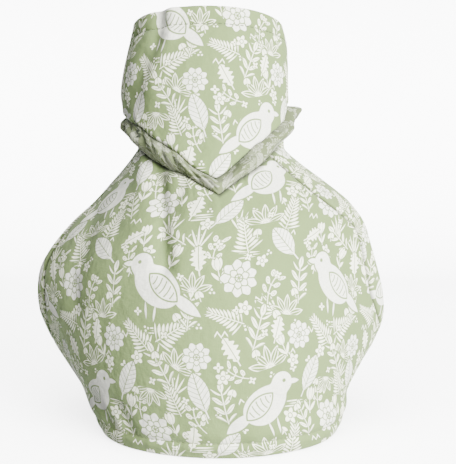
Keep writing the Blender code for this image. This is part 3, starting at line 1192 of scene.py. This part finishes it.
@dataclass(frozen=True)
class Print:
    """The printed repeat, as a group of nodes from a place on the cloth to the ink there.

    Attributes:
        wide: Width of the repeat in mm.
        high: Its height.
        edge: Width of the soft edge of the ink.
        clearance: Bare cloth round a motif that lies over another one.
        size_step: How much smaller the next size of a motif is.
        code_scale: Degrees of a spot's turn and size to each mm that carries them.
    """

    wide: float = 96.0
    high: float = 116.0
    edge: float = 0.22
    clearance: float = 0.7
    size_step: float = 0.14
    code_scale: float = 1e5

    def nearest(self, desk: Desk, place: bpy.types.NodeSocket,
                motif: Motif) -> bpy.types.NodeSocket:
        """The place as seen from the nearest spot of a motif, unturned and at its size."""
        half = 2 * motif.copies
        reach = (self.wide / half, self.high / half, 1.0)
        seen, best = None, None
        for spot in motif.spots:
            # The third coordinate carries the spot's turn and size, too small to move it.
            code = (spot.turn + 360 * spot.size) / self.code_scale
            away = desk.vector("SUBTRACT", place, (spot.u, spot.v, -code))
            away = desk.vector("WRAP", away, reach, tuple(-x for x in reach))
            far = desk.measure("LENGTH", away)
            if seen is None:
                seen, best = away, far
                continue
            nearer = desk.number("LESS_THAN", far, best)
            mix = desk.node("ShaderNodeMix", [nearer], data_type="VECTOR")
            desk.feed(mix.inputs[4], seen)
            desk.feed(mix.inputs[5], away)
            seen, best = mix.outputs[1], desk.number("MINIMUM", far, best)
        x, y, code = desk.split(seen)
        step = desk.number("FLOOR", code.scaled(self.code_scale / 360, 0.5))
        turn = step.scaled(-360.0, code * self.code_scale) * math.radians(1)
        if motif.mirrors:
            upright = desk.turned(desk.place(x, y), turn)
            x, y, _ = desk.split(upright)
            facing = step.scaled(-2 / motif.scale, 1 / motif.scale)
            return desk.place(x * facing, y * (1 / motif.scale))
        size = step.scaled(-self.size_step / motif.scale, 1 / motif.scale)
        return desk.turned(desk.place(x * size, y * size), turn)

    def build(self) -> bpy.types.NodeTree:
        """Write the group: Cloth in mm goes in, Ink and Large come out."""
        group = bpy.data.node_groups.new("botanical_print", "ShaderNodeTree")
        group.interface.new_socket("Cloth", in_out="INPUT", socket_type="NodeSocketVector")
        group.interface.new_socket("Ink", in_out="OUTPUT", socket_type="NodeSocketFloat")
        group.interface.new_socket("Large", in_out="OUTPUT", socket_type="NodeSocketFloat")
        desk = Desk(group)
        cloth = group.nodes.new("NodeGroupInput").outputs[0]
        large = self.layered(desk, cloth, LARGE_MOTIFS, None)
        ink = self.layered(desk, cloth, FINE_MOTIFS, large)
        out = group.nodes.new("NodeGroupOutput")
        desk.feed(out.inputs[0], self.inked(desk, ink))
        desk.feed(out.inputs[1], self.inked(desk, large))
        LOG.info("%s: %d nodes", group.name, len(group.nodes))
        return group

    def layered(self, desk: Desk, cloth: bpy.types.NodeSocket, motifs: Sequence[Motif],
                shape: Field | None) -> Field:
        """Motifs added to a shape, each one behind those before it and a little clear of them."""
        for motif in motifs:
            drawn = motif.draw(desk, self.nearest(desk, cloth, motif))
            if shape is not None:
                drawn = shape.join(drawn.within(-self.clearance - shape))
            shape = drawn
        return shape

    def inked(self, desk: Desk, shape: Field) -> Field:
        """How much ink lies at each place of a shape, from 0 to 1."""
        amount = shape.scaled(1 / self.edge, 0.5)
        amount.socket.node.use_clamp = True
        return amount


@dataclass(frozen=True)
class Cotton:
    """A finish of printed cotton, seen on its right side or from behind.

    Attributes:
        name: Name of the material.
        ground: Colour of the dyed cloth.
        ink: Colour of the print.
        large_ink: Colour of the print's large shapes.
        cover: How much of the print shows.
        crumple: Height in mm of the small creases in the bump.
        thread: Height in mm of the weave's threads in the bump.
        brushing: How much the ink's cover varies, and where that starts.
        faded: The darker share of the ground's colour.
        painted_seam_shade_strength: How strongly the painted shade along the seams darkens the
            colour.
        roughness: How much the roughness varies, and where that starts.
        specular: Strength of the gloss.
        sheen: Strength of the sheen.
    """

    name: str
    ground: tuple[float, float, float]
    ink: tuple[float, float, float] = (0.93, 0.94, 0.74)
    large_ink: tuple[float, float, float] = (0.84, 0.84, 0.74)
    cover: float = 1.0
    crumple: float = 0.17
    thread: float = 0.06
    brushing: tuple[float, float] = (0.5, 0.62)
    faded: float = 0.88
    painted_seam_shade_strength: float = 0.8
    roughness: tuple[float, float] = (0.16, 0.78)
    specular: float = 0.15
    sheen: float = 0.06

    def build(self, repeat: bpy.types.NodeTree) -> bpy.types.Material:
        """Make the material.

        Args:
            repeat: The print's group of nodes.

        Returns:
            The material.
        """
        material = bpy.data.materials.new(self.name)
        material.use_nodes = True
        desk = Desk(material.node_tree)
        cloth = desk.node("ShaderNodeUVMap", [], uv_map="cloth").outputs[0]
        cloth = desk.vector("MULTIPLY", cloth, (1000.0, 1000.0, 0.0))
        place = desk.vector("MULTIPLY", desk.node("ShaderNodeTexCoord", []).outputs["Object"],
                            (1000.0, 1000.0, 1000.0))
        shader = material.node_tree.nodes["Principled BSDF"]
        desk.feed(shader.inputs["Base Color"], self.colour(desk, repeat, cloth, place))
        wear = desk.cloud(place, 0.5, 2.0)
        desk.feed(shader.inputs["Roughness"], wear.scaled(*self.roughness))
        desk.feed(shader.inputs["Normal"], self.relief(desk, cloth, place))
        shader.inputs["Specular IOR Level"].default_value = self.specular
        shader.inputs["Sheen Weight"].default_value = self.sheen
        shader.inputs["Sheen Roughness"].default_value = 0.5
        return material

    def colour(self, desk: Desk, repeat: bpy.types.NodeTree, cloth: bpy.types.NodeSocket,
               place: bpy.types.NodeSocket) -> bpy.types.NodeSocket:
        """The colour of the cloth with its print, darkened along its seams by painted shade."""
        motifs = desk.node("ShaderNodeGroup", [], node_tree=repeat)
        desk.feed(motifs.inputs[0], cloth)
        ink, large = Field(desk, motifs.outputs[0]), Field(desk, motifs.outputs[1])
        uneven = desk.cloud(place, 0.06, 3.0)
        dark = tuple(self.faded * c for c in self.ground)
        ground = desk.mix(uneven, (*dark, 1.0), (*self.ground, 1.0))
        printed = desk.mix(large, (*self.ink, 1.0), (*self.large_ink, 1.0))
        brushed = desk.cloud(cloth, 0.9, 2.0).scaled(*self.brushing)
        brushed.socket.node.use_clamp = True
        cloth_colour = desk.mix(ink * brushed * self.cover, ground, printed)
        # Painted shade: a dark colour mixed in along the seams, where the cloth dips in and would
        # lie in shade.
        painted_seam_shade = Field(desk, desk.node("ShaderNodeAttribute", [], attribute_name="painted_seam_shade").outputs[2])
        return desk.mix(painted_seam_shade * self.painted_seam_shade_strength, cloth_colour, PAINTED_SEAM_SHADE_COLOUR)

    def relief(self, desk: Desk, cloth: bpy.types.NodeSocket,
               place: bpy.types.NodeSocket) -> bpy.types.NodeSocket:
        """The threads of the weave and the small creases of the cloth."""
        warp = desk.cloud(desk.vector("MULTIPLY", cloth, (1.0, 0.14, 1.0)), 2.0, 1.0)
        weft = desk.cloud(desk.vector("MULTIPLY", cloth, (0.14, 1.0, 1.0)), 2.0, 1.0)
        creases = desk.cloud(place, 0.2, 2.0)
        height = creases.scaled(self.crumple * 4, (warp + weft) * self.thread)
        bump = desk.node("ShaderNodeBump", [])
        desk.feed(bump.inputs["Strength"], 1.0)
        desk.feed(bump.inputs["Distance"], MM)
        desk.feed(bump.inputs["Height"], height)
        return bump.outputs[0]


@dataclass
class ClothPiece:
    """A sewn piece of cloth that stands for one solid.

    Attributes:
        name: Name of the piece.
        node: The solid that it stands for.
        slot: The record's slot of its finish.
        sewn_to: The pieces that hold it up.
        cut: How it was laid on the printed cloth.
        pitch: Distance between its grid's points in mm.
    """

    # sewn_to: The pieces that hold it up; not used.
    name: str
    node: str
    slot: str
    sewn_to: tuple[str, ...]
    held: str = "draped"
    cut: Cut = Cut()
    pitch: float = 1.15

    def shape(self) -> Sheet:
        """The piece's cloth in its shape on the pot."""
        raise NotImplementedError

    def stitches(self) -> list[bpy.types.Object]:
        """The piece's own sewing that shows."""
        return []

    def build(self) -> bpy.types.Object:
        sheet = self.shape()
        piece = sheet.build(self.name)
        width, length, area = sheet.cut_size()
        sewing = self.stitches()
        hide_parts(self.node)
        for part in (piece, *sewing):
            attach(part, "root")
        LOG.info("%s: cut %.0f x %.0f mm, %.4f m2, %d faces", self.name, width / MM,
                 length / MM, area, len(piece.data.polygons))
        return piece

    def dress(self, piece: bpy.types.Object, finishes: dict[str, bpy.types.Material]) -> None:
        """Give the piece the finish of its slot outside and the cloth's reverse inside."""
        piece.data.materials.append(finishes[self.slot])
        piece.data.materials.append(finishes["cotton_reverse"])


@dataclass
class BodyPiece(ClothPiece):
    """A piece of the body's wall.

    Attributes:
        side: Front or back.
        form: The body's shape.
    """

    side: Side = Side.FRONT
    form: BodyForm = field(default_factory=BodyForm)

    def sheet(self, angle: Array, up: Array) -> Sheet:
        """The cloth over a part of the half body, with rolled edges and drawn-in seams.

        Args:
            angle: Angle round the half body of each grid point, in degrees.
            up: Share of the way up of each row.

        Returns:
            The sheet.
        """
        share, z = self.form.spot(angle, up)
        side = float(self.side.value)
        inward = self.form.inward(side, angle, share, z)
        plain = self.form.wall.point(share, z, side, inward, 0.0)
        to_side, to_end = edge_distances(plain, False)
        to_end = np.where(z < BODY_SIDE / 2, np.inf, to_end)
        at_slit = (np.abs(angle) > 89.0) & (z > SLIT_FOOT)
        away = np.minimum(np.where(at_slit, np.inf, to_side), to_end)
        dip = seam_dip(away)
        outer = self.form.wall.point(share, z, side, inward + dip, 0.0)
        turned_in = inward + dip + hem_turning(z, HEM_CREASE)
        inner = self.form.wall.point(share, z, side, turned_in, 1.0)
        outer, inner = rolled(outer, inner, False)
        # Painted shade darkens the cloth near its sewn edges.
        return Sheet(outer, inner, self.cut.apply(self.form.map.at(share, z)),
                     bell(away, FACING_SEAM_SHADE_WIDTH),
                     turned=self.side is Side.BACK, hem=lambda height: height < HEM_CREASE)


@dataclass
class BodyPanel(BodyPiece):
    """The front or the back of the body, out to the facings and the side seams.

    Attributes:
        half_girth: Nominal width of half the panel in mm, which spaces its grid.
        hem_stitches: How many stitches hold its hem.
    """

    half_girth: float = 125.0
    hem_stitches: int = 76

    def shape(self) -> Sheet:
        """The panel's cloth."""
        up = spread(BODY_SIDE, self.pitch, groove=HEM_CREASE)[:, None]
        across = spread(2 * self.half_girth, self.pitch)[None, :]
        left, right = seam_edge(up, Hand.SPOUT, -1), seam_edge(up, Hand.HANDLE, -1)
        return self.sheet(blend(-left, right, across), up)

    def stitches(self) -> list[bpy.types.Object]:
        """The row that holds the hem, just above its fold."""
        angle = np.linspace(-89.0, 89.0, self.hem_stitches + 1)[None, :]
        rise = np.full_like(angle, HEM_CREASE / BODY_SIDE)
        share, z = self.form.spot(angle, rise)
        z = np.full_like(z, HEM_CREASE)
        side = float(self.side.value)
        inward = self.form.inward(side, angle, share, z) - STITCH_LIFT
        run = self.form.wall.point(share, z, side, inward, 0.0)[0]
        return [Thread(f"{self.name}_hem_stitches", SAGE_THREAD).along(run)]


@dataclass
class Facing(BodyPiece):
    """The strip along one edge of one slit.

    Attributes:
        hand: Which slit.
        strip: Nominal width of the strip in mm, which spaces its grid.
    """

    hand: Hand = Hand.SPOUT
    strip: float = 16.0

    def shape(self) -> Sheet:
        """The facing's cloth, narrowed to nothing at its foot."""
        foot = FACING_SEAM[0].up
        up = blend(foot, 1.0, spread(BODY_SIDE * (1 - foot), self.pitch))[:, None]
        across = spread(self.strip, self.pitch)[None, :]
        angle = self.hand.value * blend(seam_edge(up, self.hand, 1), 90.0, across)
        return self.sheet(np.sort(angle, axis=1), up)


def seam_edge(up: Array, hand: Hand, beyond: int) -> Array:
    """Angle of a sheet's edge at a facing's seam, or at the side seam below the slit.

    Args:
        up: Share of the way up the body's side.
        hand: Which slit.
        beyond: 1 for the facing's edge and -1 for the panel's.

    Returns:
        The angle in degrees from the middle of the half body.
    """
    column = "left" if hand is Hand.SPOUT else "right"
    seam = Curve(FACING_SEAM, "up", column).at(up)
    angle = np.minimum(seam + beyond * SEAM_GAP / 2 * DEGREES_PER_MM, 90.0)
    return np.where(up < FACING_SEAM[0].up, 90.0, angle)


@dataclass
class Collar(ClothPiece):
    """The upright collar round the neck.

    Attributes:
        wall: Its level sections.
        foot: Its lower edge.
        top: Height of its upper edge in mm.
        height: Nominal height of the collar itself in mm, which spaces its grid.
        girth: Nominal length round it in mm, which spaces its grid.
        level: Height in mm at which its girth and its folds' places are taken.
        hem_stitches: How many stitches hold its hem.
    """

    wall: Wall = field(default_factory=lambda: Wall(COLLAR_SECTIONS))
    foot: Curve = field(default_factory=lambda: Curve(NECK_V, "angle", "collar", NECK_TIP))
    top: float = 229.0
    height: float = 80.0
    girth: float = 268.0
    level: float = 180.0
    hem_stitches: int = 92

    def foot_at(self, angle: Array) -> Array:
        """Height of the lower edge, which the gathers below pull into small waves, in mm."""
        waves = COLLAR_FOOT_WAVES.at(ring_place(angle, 0.0 * angle))
        return self.foot.at(fold_back(angle)) + waves

    def inward(self, angle: Array, side: Array, z: Array) -> Array:
        """How far folds, puckers and creases draw the collar in at each place, in mm."""
        across = np.sin(np.radians(angle))
        x = self.wall.x_at(across, np.full_like(z, self.level))
        front = np.where(side < 0, fold_depth(COLLAR_FOLDS, x, z), 0.0)
        rise = np.clip(np.sqrt(np.clip(1 - across**2, 0, None)) / FOLD_RISE, 0, 1)
        place = ring_place(angle, z)
        uneven = sum(ripple.at(place) for ripple in COLLAR_RIPPLES)
        above = np.clip(z - self.foot_at(angle), 0, None)
        puckers = COLLAR_PUCKERS.at(ring_place(angle, above / 5), above)
        hem = COLLAR_HEM_WAVES.at(place) * bell(z - TOP_HEM_CREASE, 5.0)
        return (front + crease_depth(z, TOP_HEM_CREASE)) * rise + uneven + puckers + hem

    def surface(self, angle: Array, z: Array, extra: Array | float, depth: float) -> Array:
        """Points of the collar in mm, drawn in by an extra amount, at 0 to 1 of its depth."""
        angle, z, extra = np.broadcast_arrays(angle, z, extra)
        side = half_at(angle)
        inward = self.inward(angle, side, z) + extra
        return self.wall.point(np.sin(np.radians(angle)), z, side, inward, depth)

    def shape(self) -> Sheet:
        """The collar's cloth."""
        angle = blend(-90.0, 270.0, spread(self.girth, self.pitch, False))[None, :]
        below = self.height - (self.top - TOP_HEM_CREASE)
        up = spread(self.height, self.pitch, groove=below)[:, None] * self.height
        foot = self.foot_at(angle)
        z = np.where(up < below, blend(foot, TOP_HEM_CREASE, up / below),
                     TOP_HEM_CREASE + up - below)
        away = lengths(self.surface(angle, z, 0.0, 0.0), 0)
        dip = seam_dip(away)
        outer = self.surface(angle, z, dip, 0.0)
        inner = self.surface(angle, z, dip + hem_turning(-z, -TOP_HEM_CREASE), 1.0)
        outer, inner = rolled(outer, inner, True)
        girth = lengths(self.surface(angle, np.full((1, 1), self.level), 0.0, 0.0), 1)
        flat = self.cut.apply(np.stack(np.broadcast_arrays(girth, z), axis=-1))
        # Painted shade darkens the collar just above its sewn lower edge.
        return Sheet(outer, inner, flat, bell(away, NECK_SEAM_SHADE_WIDTH), closed=True,
                     hem=lambda height: height > TOP_HEM_CREASE)

    def stitches(self) -> list[bpy.types.Object]:
        """The row that holds the hem, below its fold."""
        angle = np.linspace(-90.0, 270.0, self.hem_stitches + 1)
        hem = self.surface(angle, np.full_like(angle, TOP_HEM_CREASE), -STITCH_LIFT, 0.0)
        return [Thread(f"{self.name}_hem_stitches").along(hem)]


def ring_place(angle: Array, height: Array) -> Array:
    """Places on a plain round neck, for noise that runs on all the way round."""
    turn = np.radians(angle)
    ring = np.broadcast_arrays(NECK_RADIUS * np.sin(turn), -NECK_RADIUS * np.cos(turn), height)
    return np.stack(ring, axis=-1)


@dataclass(frozen=True)
class Tack:
    """A zigzag of dark thread over the seam between collar and band.

    Attributes:
        angle: Where it is on the way round the neck, in degrees.
        width: How wide it is, in degrees.
        lift: How far it stands off the cloth in mm.
        on_collar: Heights of its points above the collar's lower edge in mm.
        on_band: Shares of the way up the band of its points below them.
        radius: Half the thread's thickness in mm.
    """

    angle: float = -52.5
    width: float = 3.6
    lift: float = 0.6
    on_collar: tuple[float, ...] = (2.8, 1.4, 0.3)
    on_band: tuple[float, ...] = (0.9, 0.8, 0.7, 0.6)
    radius: float = 0.42


@dataclass
class NeckBand(ClothPiece):
    """The gathered band between body and collar.

    Attributes:
        body: The shape that its lower edge is sewn to.
        collar: The collar that its upper edge is sewn to.
        rows: How many points it has from edge to edge.
        girth: Nominal length round it in mm, which spaces its grid.
        gathering: Length of its cloth over its own length.
        cut_width: Width of its cloth in mm.
        stand: How far it stands out all the way round, in mm.
        tilt: Rise of that way out for each mm.
        narrowing: How sharply the ears at its two ends stand apart from the rest.
        crinkle: Depth of its valleys in mm.
        fine_crinkle: Depth of the finer ones between them.
        tack: The tack that holds it to the collar.
    """

    body: BodyForm = field(default_factory=BodyForm)
    collar: Collar | None = None
    rows: int = 40
    girth: float = 300.0
    gathering: float = 1.3
    cut_width: float = 26.0
    stand: float = 3.0
    tilt: float = 0.25
    narrowing: int = 6
    crinkle: float = 3.4
    fine_crinkle: float = 0.8
    tack: Tack = Tack()

    def puff(self, angle: Array, up: Array) -> Array:
        """How far the band stands out at each place, in mm."""
        turn = np.radians(angle)
        across = np.sin(turn)
        sharp = across**self.narrowing
        rise = np.where(across > 0, RIGHT_EAR.rise, LEFT_EAR.rise)
        reach = self.stand + np.where(across > 0, RIGHT_EAR.reach, LEFT_EAR.reach) * sharp
        ruffle = sum(r.height * np.sin(r.waves * turn + r.phase) for r in RUFFLES)
        return reach * np.sin(np.pi * up ** blend(1.0, rise, sharp)) + ruffle * np.sin(np.pi * up)

    def crinkles(self, angle: Array, up: Array) -> Array:
        """The band's sharp little valleys between soft puffs, in mm."""
        valleys = np.abs(crumple(ring_place(angle + 6.0 * up, 8.0 * up), 8.5, 6.1)) ** 0.8
        finer = np.abs(crumple(ring_place(angle - 5.0 * up, 12.0 * up), 3.6, 2.9))
        fade = np.sin(np.pi * up) ** 0.5
        return (self.crinkle * (valleys - 0.3) + self.fine_crinkle * (finer - 0.25)) * fade

    def face(self, angle: Array, up: Array, depth: float) -> Array:
        """Points of the outer face at a depth of 0, or of the inner one at 1, in mm."""
        turn = np.radians(angle)
        outward = np.stack([np.sin(turn), -np.cos(turn), np.full_like(turn, self.tilt)], axis=-1)
        outward /= np.linalg.norm(outward, axis=-1, keepdims=True)
        stand = self.puff(angle, up) + self.crinkles(angle, up)
        foot = self.collar.foot_at(angle)
        low = self.body.rim(angle, depth) + (0, 0, RING_GAP)
        high = self.collar.surface(angle, foot, SEAM_DIP, depth) - (0, 0, RING_GAP)
        return blend(low, high, up[..., None]) + outward * stand[..., None]

    def shape(self) -> Sheet:
        """The band's cloth."""
        angle = blend(-90.0, 270.0, spread(self.girth, self.pitch, False))[None, :]
        up = ((1 - np.cos(np.linspace(0, math.pi, self.rows))) / 2)[:, None]
        outer, inner = rolled(self.face(angle, up, 0.0), self.face(angle, up, 1.0), True)
        across = lengths(outer[self.rows // 2][None], 1) * self.gathering
        flat = self.cut.apply(np.stack(np.broadcast_arrays(across, up * self.cut_width), axis=-1))
        # Painted shade darkens the band along both its sewn edges.
        painted_seam_shade = bell(edge_distances(outer, True)[1], NECK_SEAM_SHADE_WIDTH)
        return Sheet(outer, inner, flat, painted_seam_shade, closed=True, gathering=self.gathering)

    def stitches(self) -> list[bpy.types.Object]:
        """The tack that holds the gathers to the collar above the spout."""
        tack, over = self.tack, len(self.tack.on_collar)
        angle = tack.angle + tack.width * (np.arange(over + len(tack.on_band)) % 2)
        above, below = np.split(angle, [over])
        height = self.collar.foot_at(above) + tack.on_collar
        run = np.concatenate([self.collar.surface(above, height, -tack.lift, 0.0),
                              self.face(below, np.array(tack.on_band), -tack.lift / CLOTH)])
        return [Thread(f"{self.name}_tack", DARK_THREAD, 1.0, tack.radius).along(run)]


@dataclass(frozen=True)
class Thread:
    """A row of stitches.

    Attributes:
        name: Name of the row.
        colour: Colour of the thread.
        length: Share of each step that shows as thread.
        radius: Half the thread's thickness in mm.
    """

    name: str
    colour: tuple[float, float, float] = HEM_THREAD
    length: float = 0.72
    radius: float = 0.24

    def stitch(self) -> bpy.types.Object:
        """One stitch along X from -0.5 to 0.5, with drawn-in ends, and 1 thick."""
        bpy.ops.object.select_all(action="DESELECT")
        bpy.ops.mesh.primitive_cylinder_add(vertices=6, radius=1.0, depth=0.7,
                                            rotation=(0, math.radians(90), 0))
        stitch = bpy.context.object
        bpy.ops.object.transform_apply(rotation=True)
        bpy.ops.object.mode_set(mode="EDIT")
        bpy.ops.mesh.select_mode(type="FACE")
        bpy.ops.mesh.select_all(action="DESELECT")
        shape = bmesh.from_edit_mesh(stitch.data)
        for face in shape.faces:
            face.select_set(len(face.verts) == 6)
        bmesh.update_edit_mesh(stitch.data)
        bpy.ops.mesh.extrude_faces_move()
        ends = bmesh.from_edit_mesh(stitch.data)
        for vert in ends.verts:
            if vert.select:
                vert.co = (math.copysign(0.5, vert.co.x), vert.co.y * 0.4, vert.co.z * 0.4)
        bmesh.update_edit_mesh(stitch.data)
        bpy.ops.object.mode_set(mode="OBJECT")
        return stitch

    def material(self) -> bpy.types.Material:
        """Dull twisted thread."""
        material = bpy.data.materials.new(self.name)
        material.use_nodes = True
        desk = Desk(material.node_tree)
        shader = material.node_tree.nodes["Principled BSDF"]
        twist = desk.cloud(desk.node("ShaderNodeTexCoord", []).outputs["Object"], 900.0, 1.0)
        dark = tuple(0.7 * part for part in self.colour)
        desk.feed(shader.inputs["Base Color"], desk.mix(twist, (*dark, 1.0), (*self.colour, 1.0)))
        shader.inputs["Roughness"].default_value = 0.8
        shader.inputs["Specular IOR Level"].default_value = 0.1
        return material

    def along(self, run: Array) -> bpy.types.Object:
        """A stitch on each step of a run of points in mm, joined into one piece."""
        stitch = self.stitch()
        points = np.array([vert.co for vert in stitch.data.vertices])
        faces = [list(face.vertices) for face in stitch.data.polygons]
        bpy.data.objects.remove(stitch)
        steps = np.diff(run, axis=0)
        ahead = steps / np.linalg.norm(steps, axis=1, keepdims=True)
        up = np.array([0.0, 0.0, 1.0])
        out = np.cross(ahead, up)
        rise = np.cross(out, ahead)
        middle = (run[1:] + run[:-1]) / 2
        places = (
            middle[:, None]
            + points[None, :, :1] * steps[:, None] * self.length
            + points[None, :, 1:2] * out[:, None] * self.radius
            + points[None, :, 2:] * rise[:, None] * self.radius
        )
        numbers = [[corner + k * len(points) for corner in face]
                   for k in range(len(steps)) for face in faces]
        mesh = bpy.data.meshes.new(self.name)
        mesh.from_pydata((places.reshape(-1, 3) * MM).tolist(), [], numbers)
        mesh.shade_smooth()
        mesh.materials.append(self.material())
        piece = bpy.data.objects.new(self.name, mesh)
        bpy.context.scene.collection.objects.link(piece)
        return piece


@dataclass
class Studio:
    """The plain floor, the soft lights and the camera.

    Attributes:
        camera_place: Where the camera stands, in metres; it looks along +Y.
        lens: Its focal length in mm.
        key: Power of the key light in watts.
        key_place: Where it hangs, in metres.
        fill: Strength of the light from all round.
        back: Power of the light behind the cosy in watts.
        back_place: Where it hangs.
        lamp_sizes: Widths of the key light and the back light in metres.
        paper_size: Width of the paper on the floor in metres.
        paper_place: Where its middle lies.
        paper_wall: Height of its upright part.
        paper_sweep: Radius of the sweep between floor and wall.
        paper_light: Strength of the light that falls on the paper alone.
        paper_light_place: Where that light comes from.
        shadow_share: Share of that light that casts the cosy's shadow.
        beyond_paper: How bright the surround looks past the paper's edge.
        aim: What the lamps face.
    """

    camera_place: tuple[float, float, float] = (0.0094, -0.377, 0.109)
    lens: float = 50.0
    key: float = 205.0
    key_place: tuple[float, float, float] = (0.97, -1.32, 0.36)
    fill: float = 0.32
    back: float = 110.0
    back_place: tuple[float, float, float] = (0.15, 1.7, 0.75)
    lamp_sizes: tuple[float, float] = (0.9, 1.2)
    paper_size: float = 8.0
    paper_place: tuple[float, float, float] = (0.0, -1.0, 0.0)
    paper_wall: float = 4.0
    paper_sweep: float = 2.0
    paper_light: float = 34.0
    paper_light_place: tuple[float, float, float] = (0.0, -2.0, 2.1)
    shadow_share: float = 0.4
    beyond_paper: float = 8.0
    aim: tuple[float, float, float] = (0.0, 0.0, 0.11)

    def paper(self) -> bpy.types.Object:
        """Lay pale paper on the floor, swept up into a wall far behind."""
        bpy.ops.object.select_all(action="DESELECT")
        bpy.ops.mesh.primitive_plane_add(size=self.paper_size, location=self.paper_place)
        paper = bpy.context.object
        paper.name = "studio_paper"
        bpy.ops.object.mode_set(mode="EDIT")
        bpy.ops.mesh.select_mode(type="EDGE")
        bpy.ops.mesh.select_all(action="DESELECT")
        shape = bmesh.from_edit_mesh(paper.data)
        for edge in shape.edges:
            edge.select_set(all(vert.co.y > 0.49 * self.paper_size for vert in edge.verts))
        bmesh.update_edit_mesh(paper.data)
        rise = {"value": (0, 0, self.paper_wall)}
        bpy.ops.mesh.extrude_region_move(TRANSFORM_OT_translate=rise)
        bpy.ops.object.mode_set(mode="OBJECT")
        bend = paper.modifiers.new("sweep", "BEVEL")
        bend.width = self.paper_sweep
        bend.segments = 32
        bend.limit_method = "ANGLE"
        bpy.ops.object.modifier_apply(modifier=bend.name)
        paper.data.shade_smooth()
        paper.visible_diffuse = False
        material = bpy.data.materials.new("studio_paper")
        material.use_nodes = True
        shader = material.node_tree.nodes["Principled BSDF"]
        shader.inputs["Base Color"].default_value = (0.93, 0.93, 0.93, 1.0)
        shader.inputs["Roughness"].default_value = 0.95
        shader.inputs["Specular IOR Level"].default_value = 0.1
        paper.data.materials.append(material)
        return paper

    def lamp(self, data: bpy.types.Light, place: tuple[float, float, float]) -> bpy.types.Object:
        """Hang a lamp so that it faces the middle of the cosy."""
        lamp = bpy.data.objects.new(data.name, data)
        lamp.location = place
        aim = Vector(self.aim) - Vector(place)
        lamp.rotation_euler = aim.to_track_quat("-Z", "Y").to_euler()
        bpy.context.scene.collection.objects.link(lamp)
        return lamp

    def light(self, paper: bpy.types.Object) -> None:
        """Light the cosy softly from the right and behind, and the paper evenly by itself."""
        world = bpy.data.worlds.new("studio_surround")
        bpy.context.scene.world = world
        world.use_nodes = True
        desk = Desk(world.node_tree)
        backdrop = world.node_tree.nodes["Background"]
        backdrop.inputs["Color"].default_value = (1.0, 1.0, 1.1, 1.0)
        seen = Field(desk, desk.node("ShaderNodeLightPath", []).outputs["Is Camera Ray"])
        desk.feed(backdrop.inputs["Strength"], seen.scaled(self.beyond_paper, self.fill))
        key = bpy.data.lights.new("key_light", "AREA")
        key.size = self.lamp_sizes[0]
        key.energy = self.key
        self.lamp(key, self.key_place)
        back = bpy.data.lights.new("back_light", "AREA")
        back.size = self.lamp_sizes[1]
        back.energy = self.back
        unlit = bpy.data.collections.new("all_but_paper")
        unlit.objects.link(paper)
        unlit.collection_objects[0].light_linking.link_state = "EXCLUDE"
        self.lamp(back, self.back_place).light_linking.receiver_collection = unlit
        lit = bpy.data.collections.new("lit_paper")
        lit.objects.link(paper)
        for shadows, share in ((True, self.shadow_share), (False, 1 - self.shadow_share)):
            wash = bpy.data.lights.new("paper_light", "SUN")
            wash.angle = math.radians(90)
            wash.energy = self.paper_light * share
            wash.use_shadow = shadows
            self.lamp(wash, self.paper_light_place).light_linking.receiver_collection = lit

    def camera(self) -> None:
        """The camera, level with the middle of the cosy."""
        data = bpy.data.cameras.new("camera")
        data.lens = self.lens
        data.sensor_width = 36.0
        camera = bpy.data.objects.new("camera", data)
        camera.location = self.camera_place
        camera.rotation_euler = Euler((math.radians(90), 0, 0))
        bpy.context.scene.collection.objects.link(camera)
        bpy.context.scene.camera = camera


def cloth_pieces() -> list[ClothPiece]:
    """Every piece of the cosy, from the body up."""
    body = BodyForm()
    panel, facing = "printed_cotton", "facing_cotton"
    collar = Collar("upright_collar", "collar", "collar_cotton", ("gathered_band",),
                    cut=Cut(0, (22, -18)), pitch=1.1)
    pieces = [
        BodyPanel("front_panel", "body_front", panel, ("gathered_band",), side=Side.FRONT,
                  form=body),
        BodyPanel("back_panel", "body_back", panel, ("gathered_band",), side=Side.BACK,
                  form=body, cut=Cut(0, (37, 61))),
    ]
    for side, face in ((Side.FRONT, "front"), (Side.BACK, "back")):
        for hand, end in ((Hand.SPOUT, "left"), (Hand.HANDLE, "right")):
            cut = Cut(20.0 * hand.value, (33.0, 41.0 + 20 * side.value))
            pieces.append(Facing(f"{face}_{end}_facing", f"facing_{face}_{end}", facing,
                                 (f"{face}_panel",), side=side, hand=hand, form=body, cut=cut))
    band = NeckBand("gathered_band", "neck_band", "gathered_cotton", ("upright_collar",),
                    held="gathered", body=body, collar=collar, cut=Cut(0, (10, 30)), pitch=0.7)
    return [*pieces, band, collar]


def finishes() -> dict[str, bpy.types.Material]:
    """Every finish by its slot's name, and the cloth's reverse."""
    repeat = Print().build()
    cottons = (
        Cotton("printed_cotton", (0.155, 0.214, 0.079)),
        Cotton("facing_cotton", (0.167, 0.226, 0.087)),
        # The band's darker ground and ink are painted shade, standing for the shade in the crevices
        # between its gathers.
        Cotton("gathered_cotton", (0.120, 0.145, 0.070), (0.50, 0.52, 0.41), (0.46, 0.47, 0.38),
               cover=0.6, crumple=0.16),
        Cotton("collar_cotton", (0.155, 0.214, 0.079)),
        Cotton("cotton_reverse", (0.34, 0.41, 0.21), cover=0.25),
    )
    return {cotton.name: cotton.build(repeat) for cotton in cottons}


def main() -> None:
    """Build and dress every piece, then the studio."""
    logging.basicConfig(level=logging.INFO, format="%(message)s")
    made = finishes()
    for maker in cloth_pieces():
        maker.dress(maker.build(), made)
    studio = Studio()
    studio.light(studio.paper())
    studio.camera()


if __name__ == "__main__":
    main()
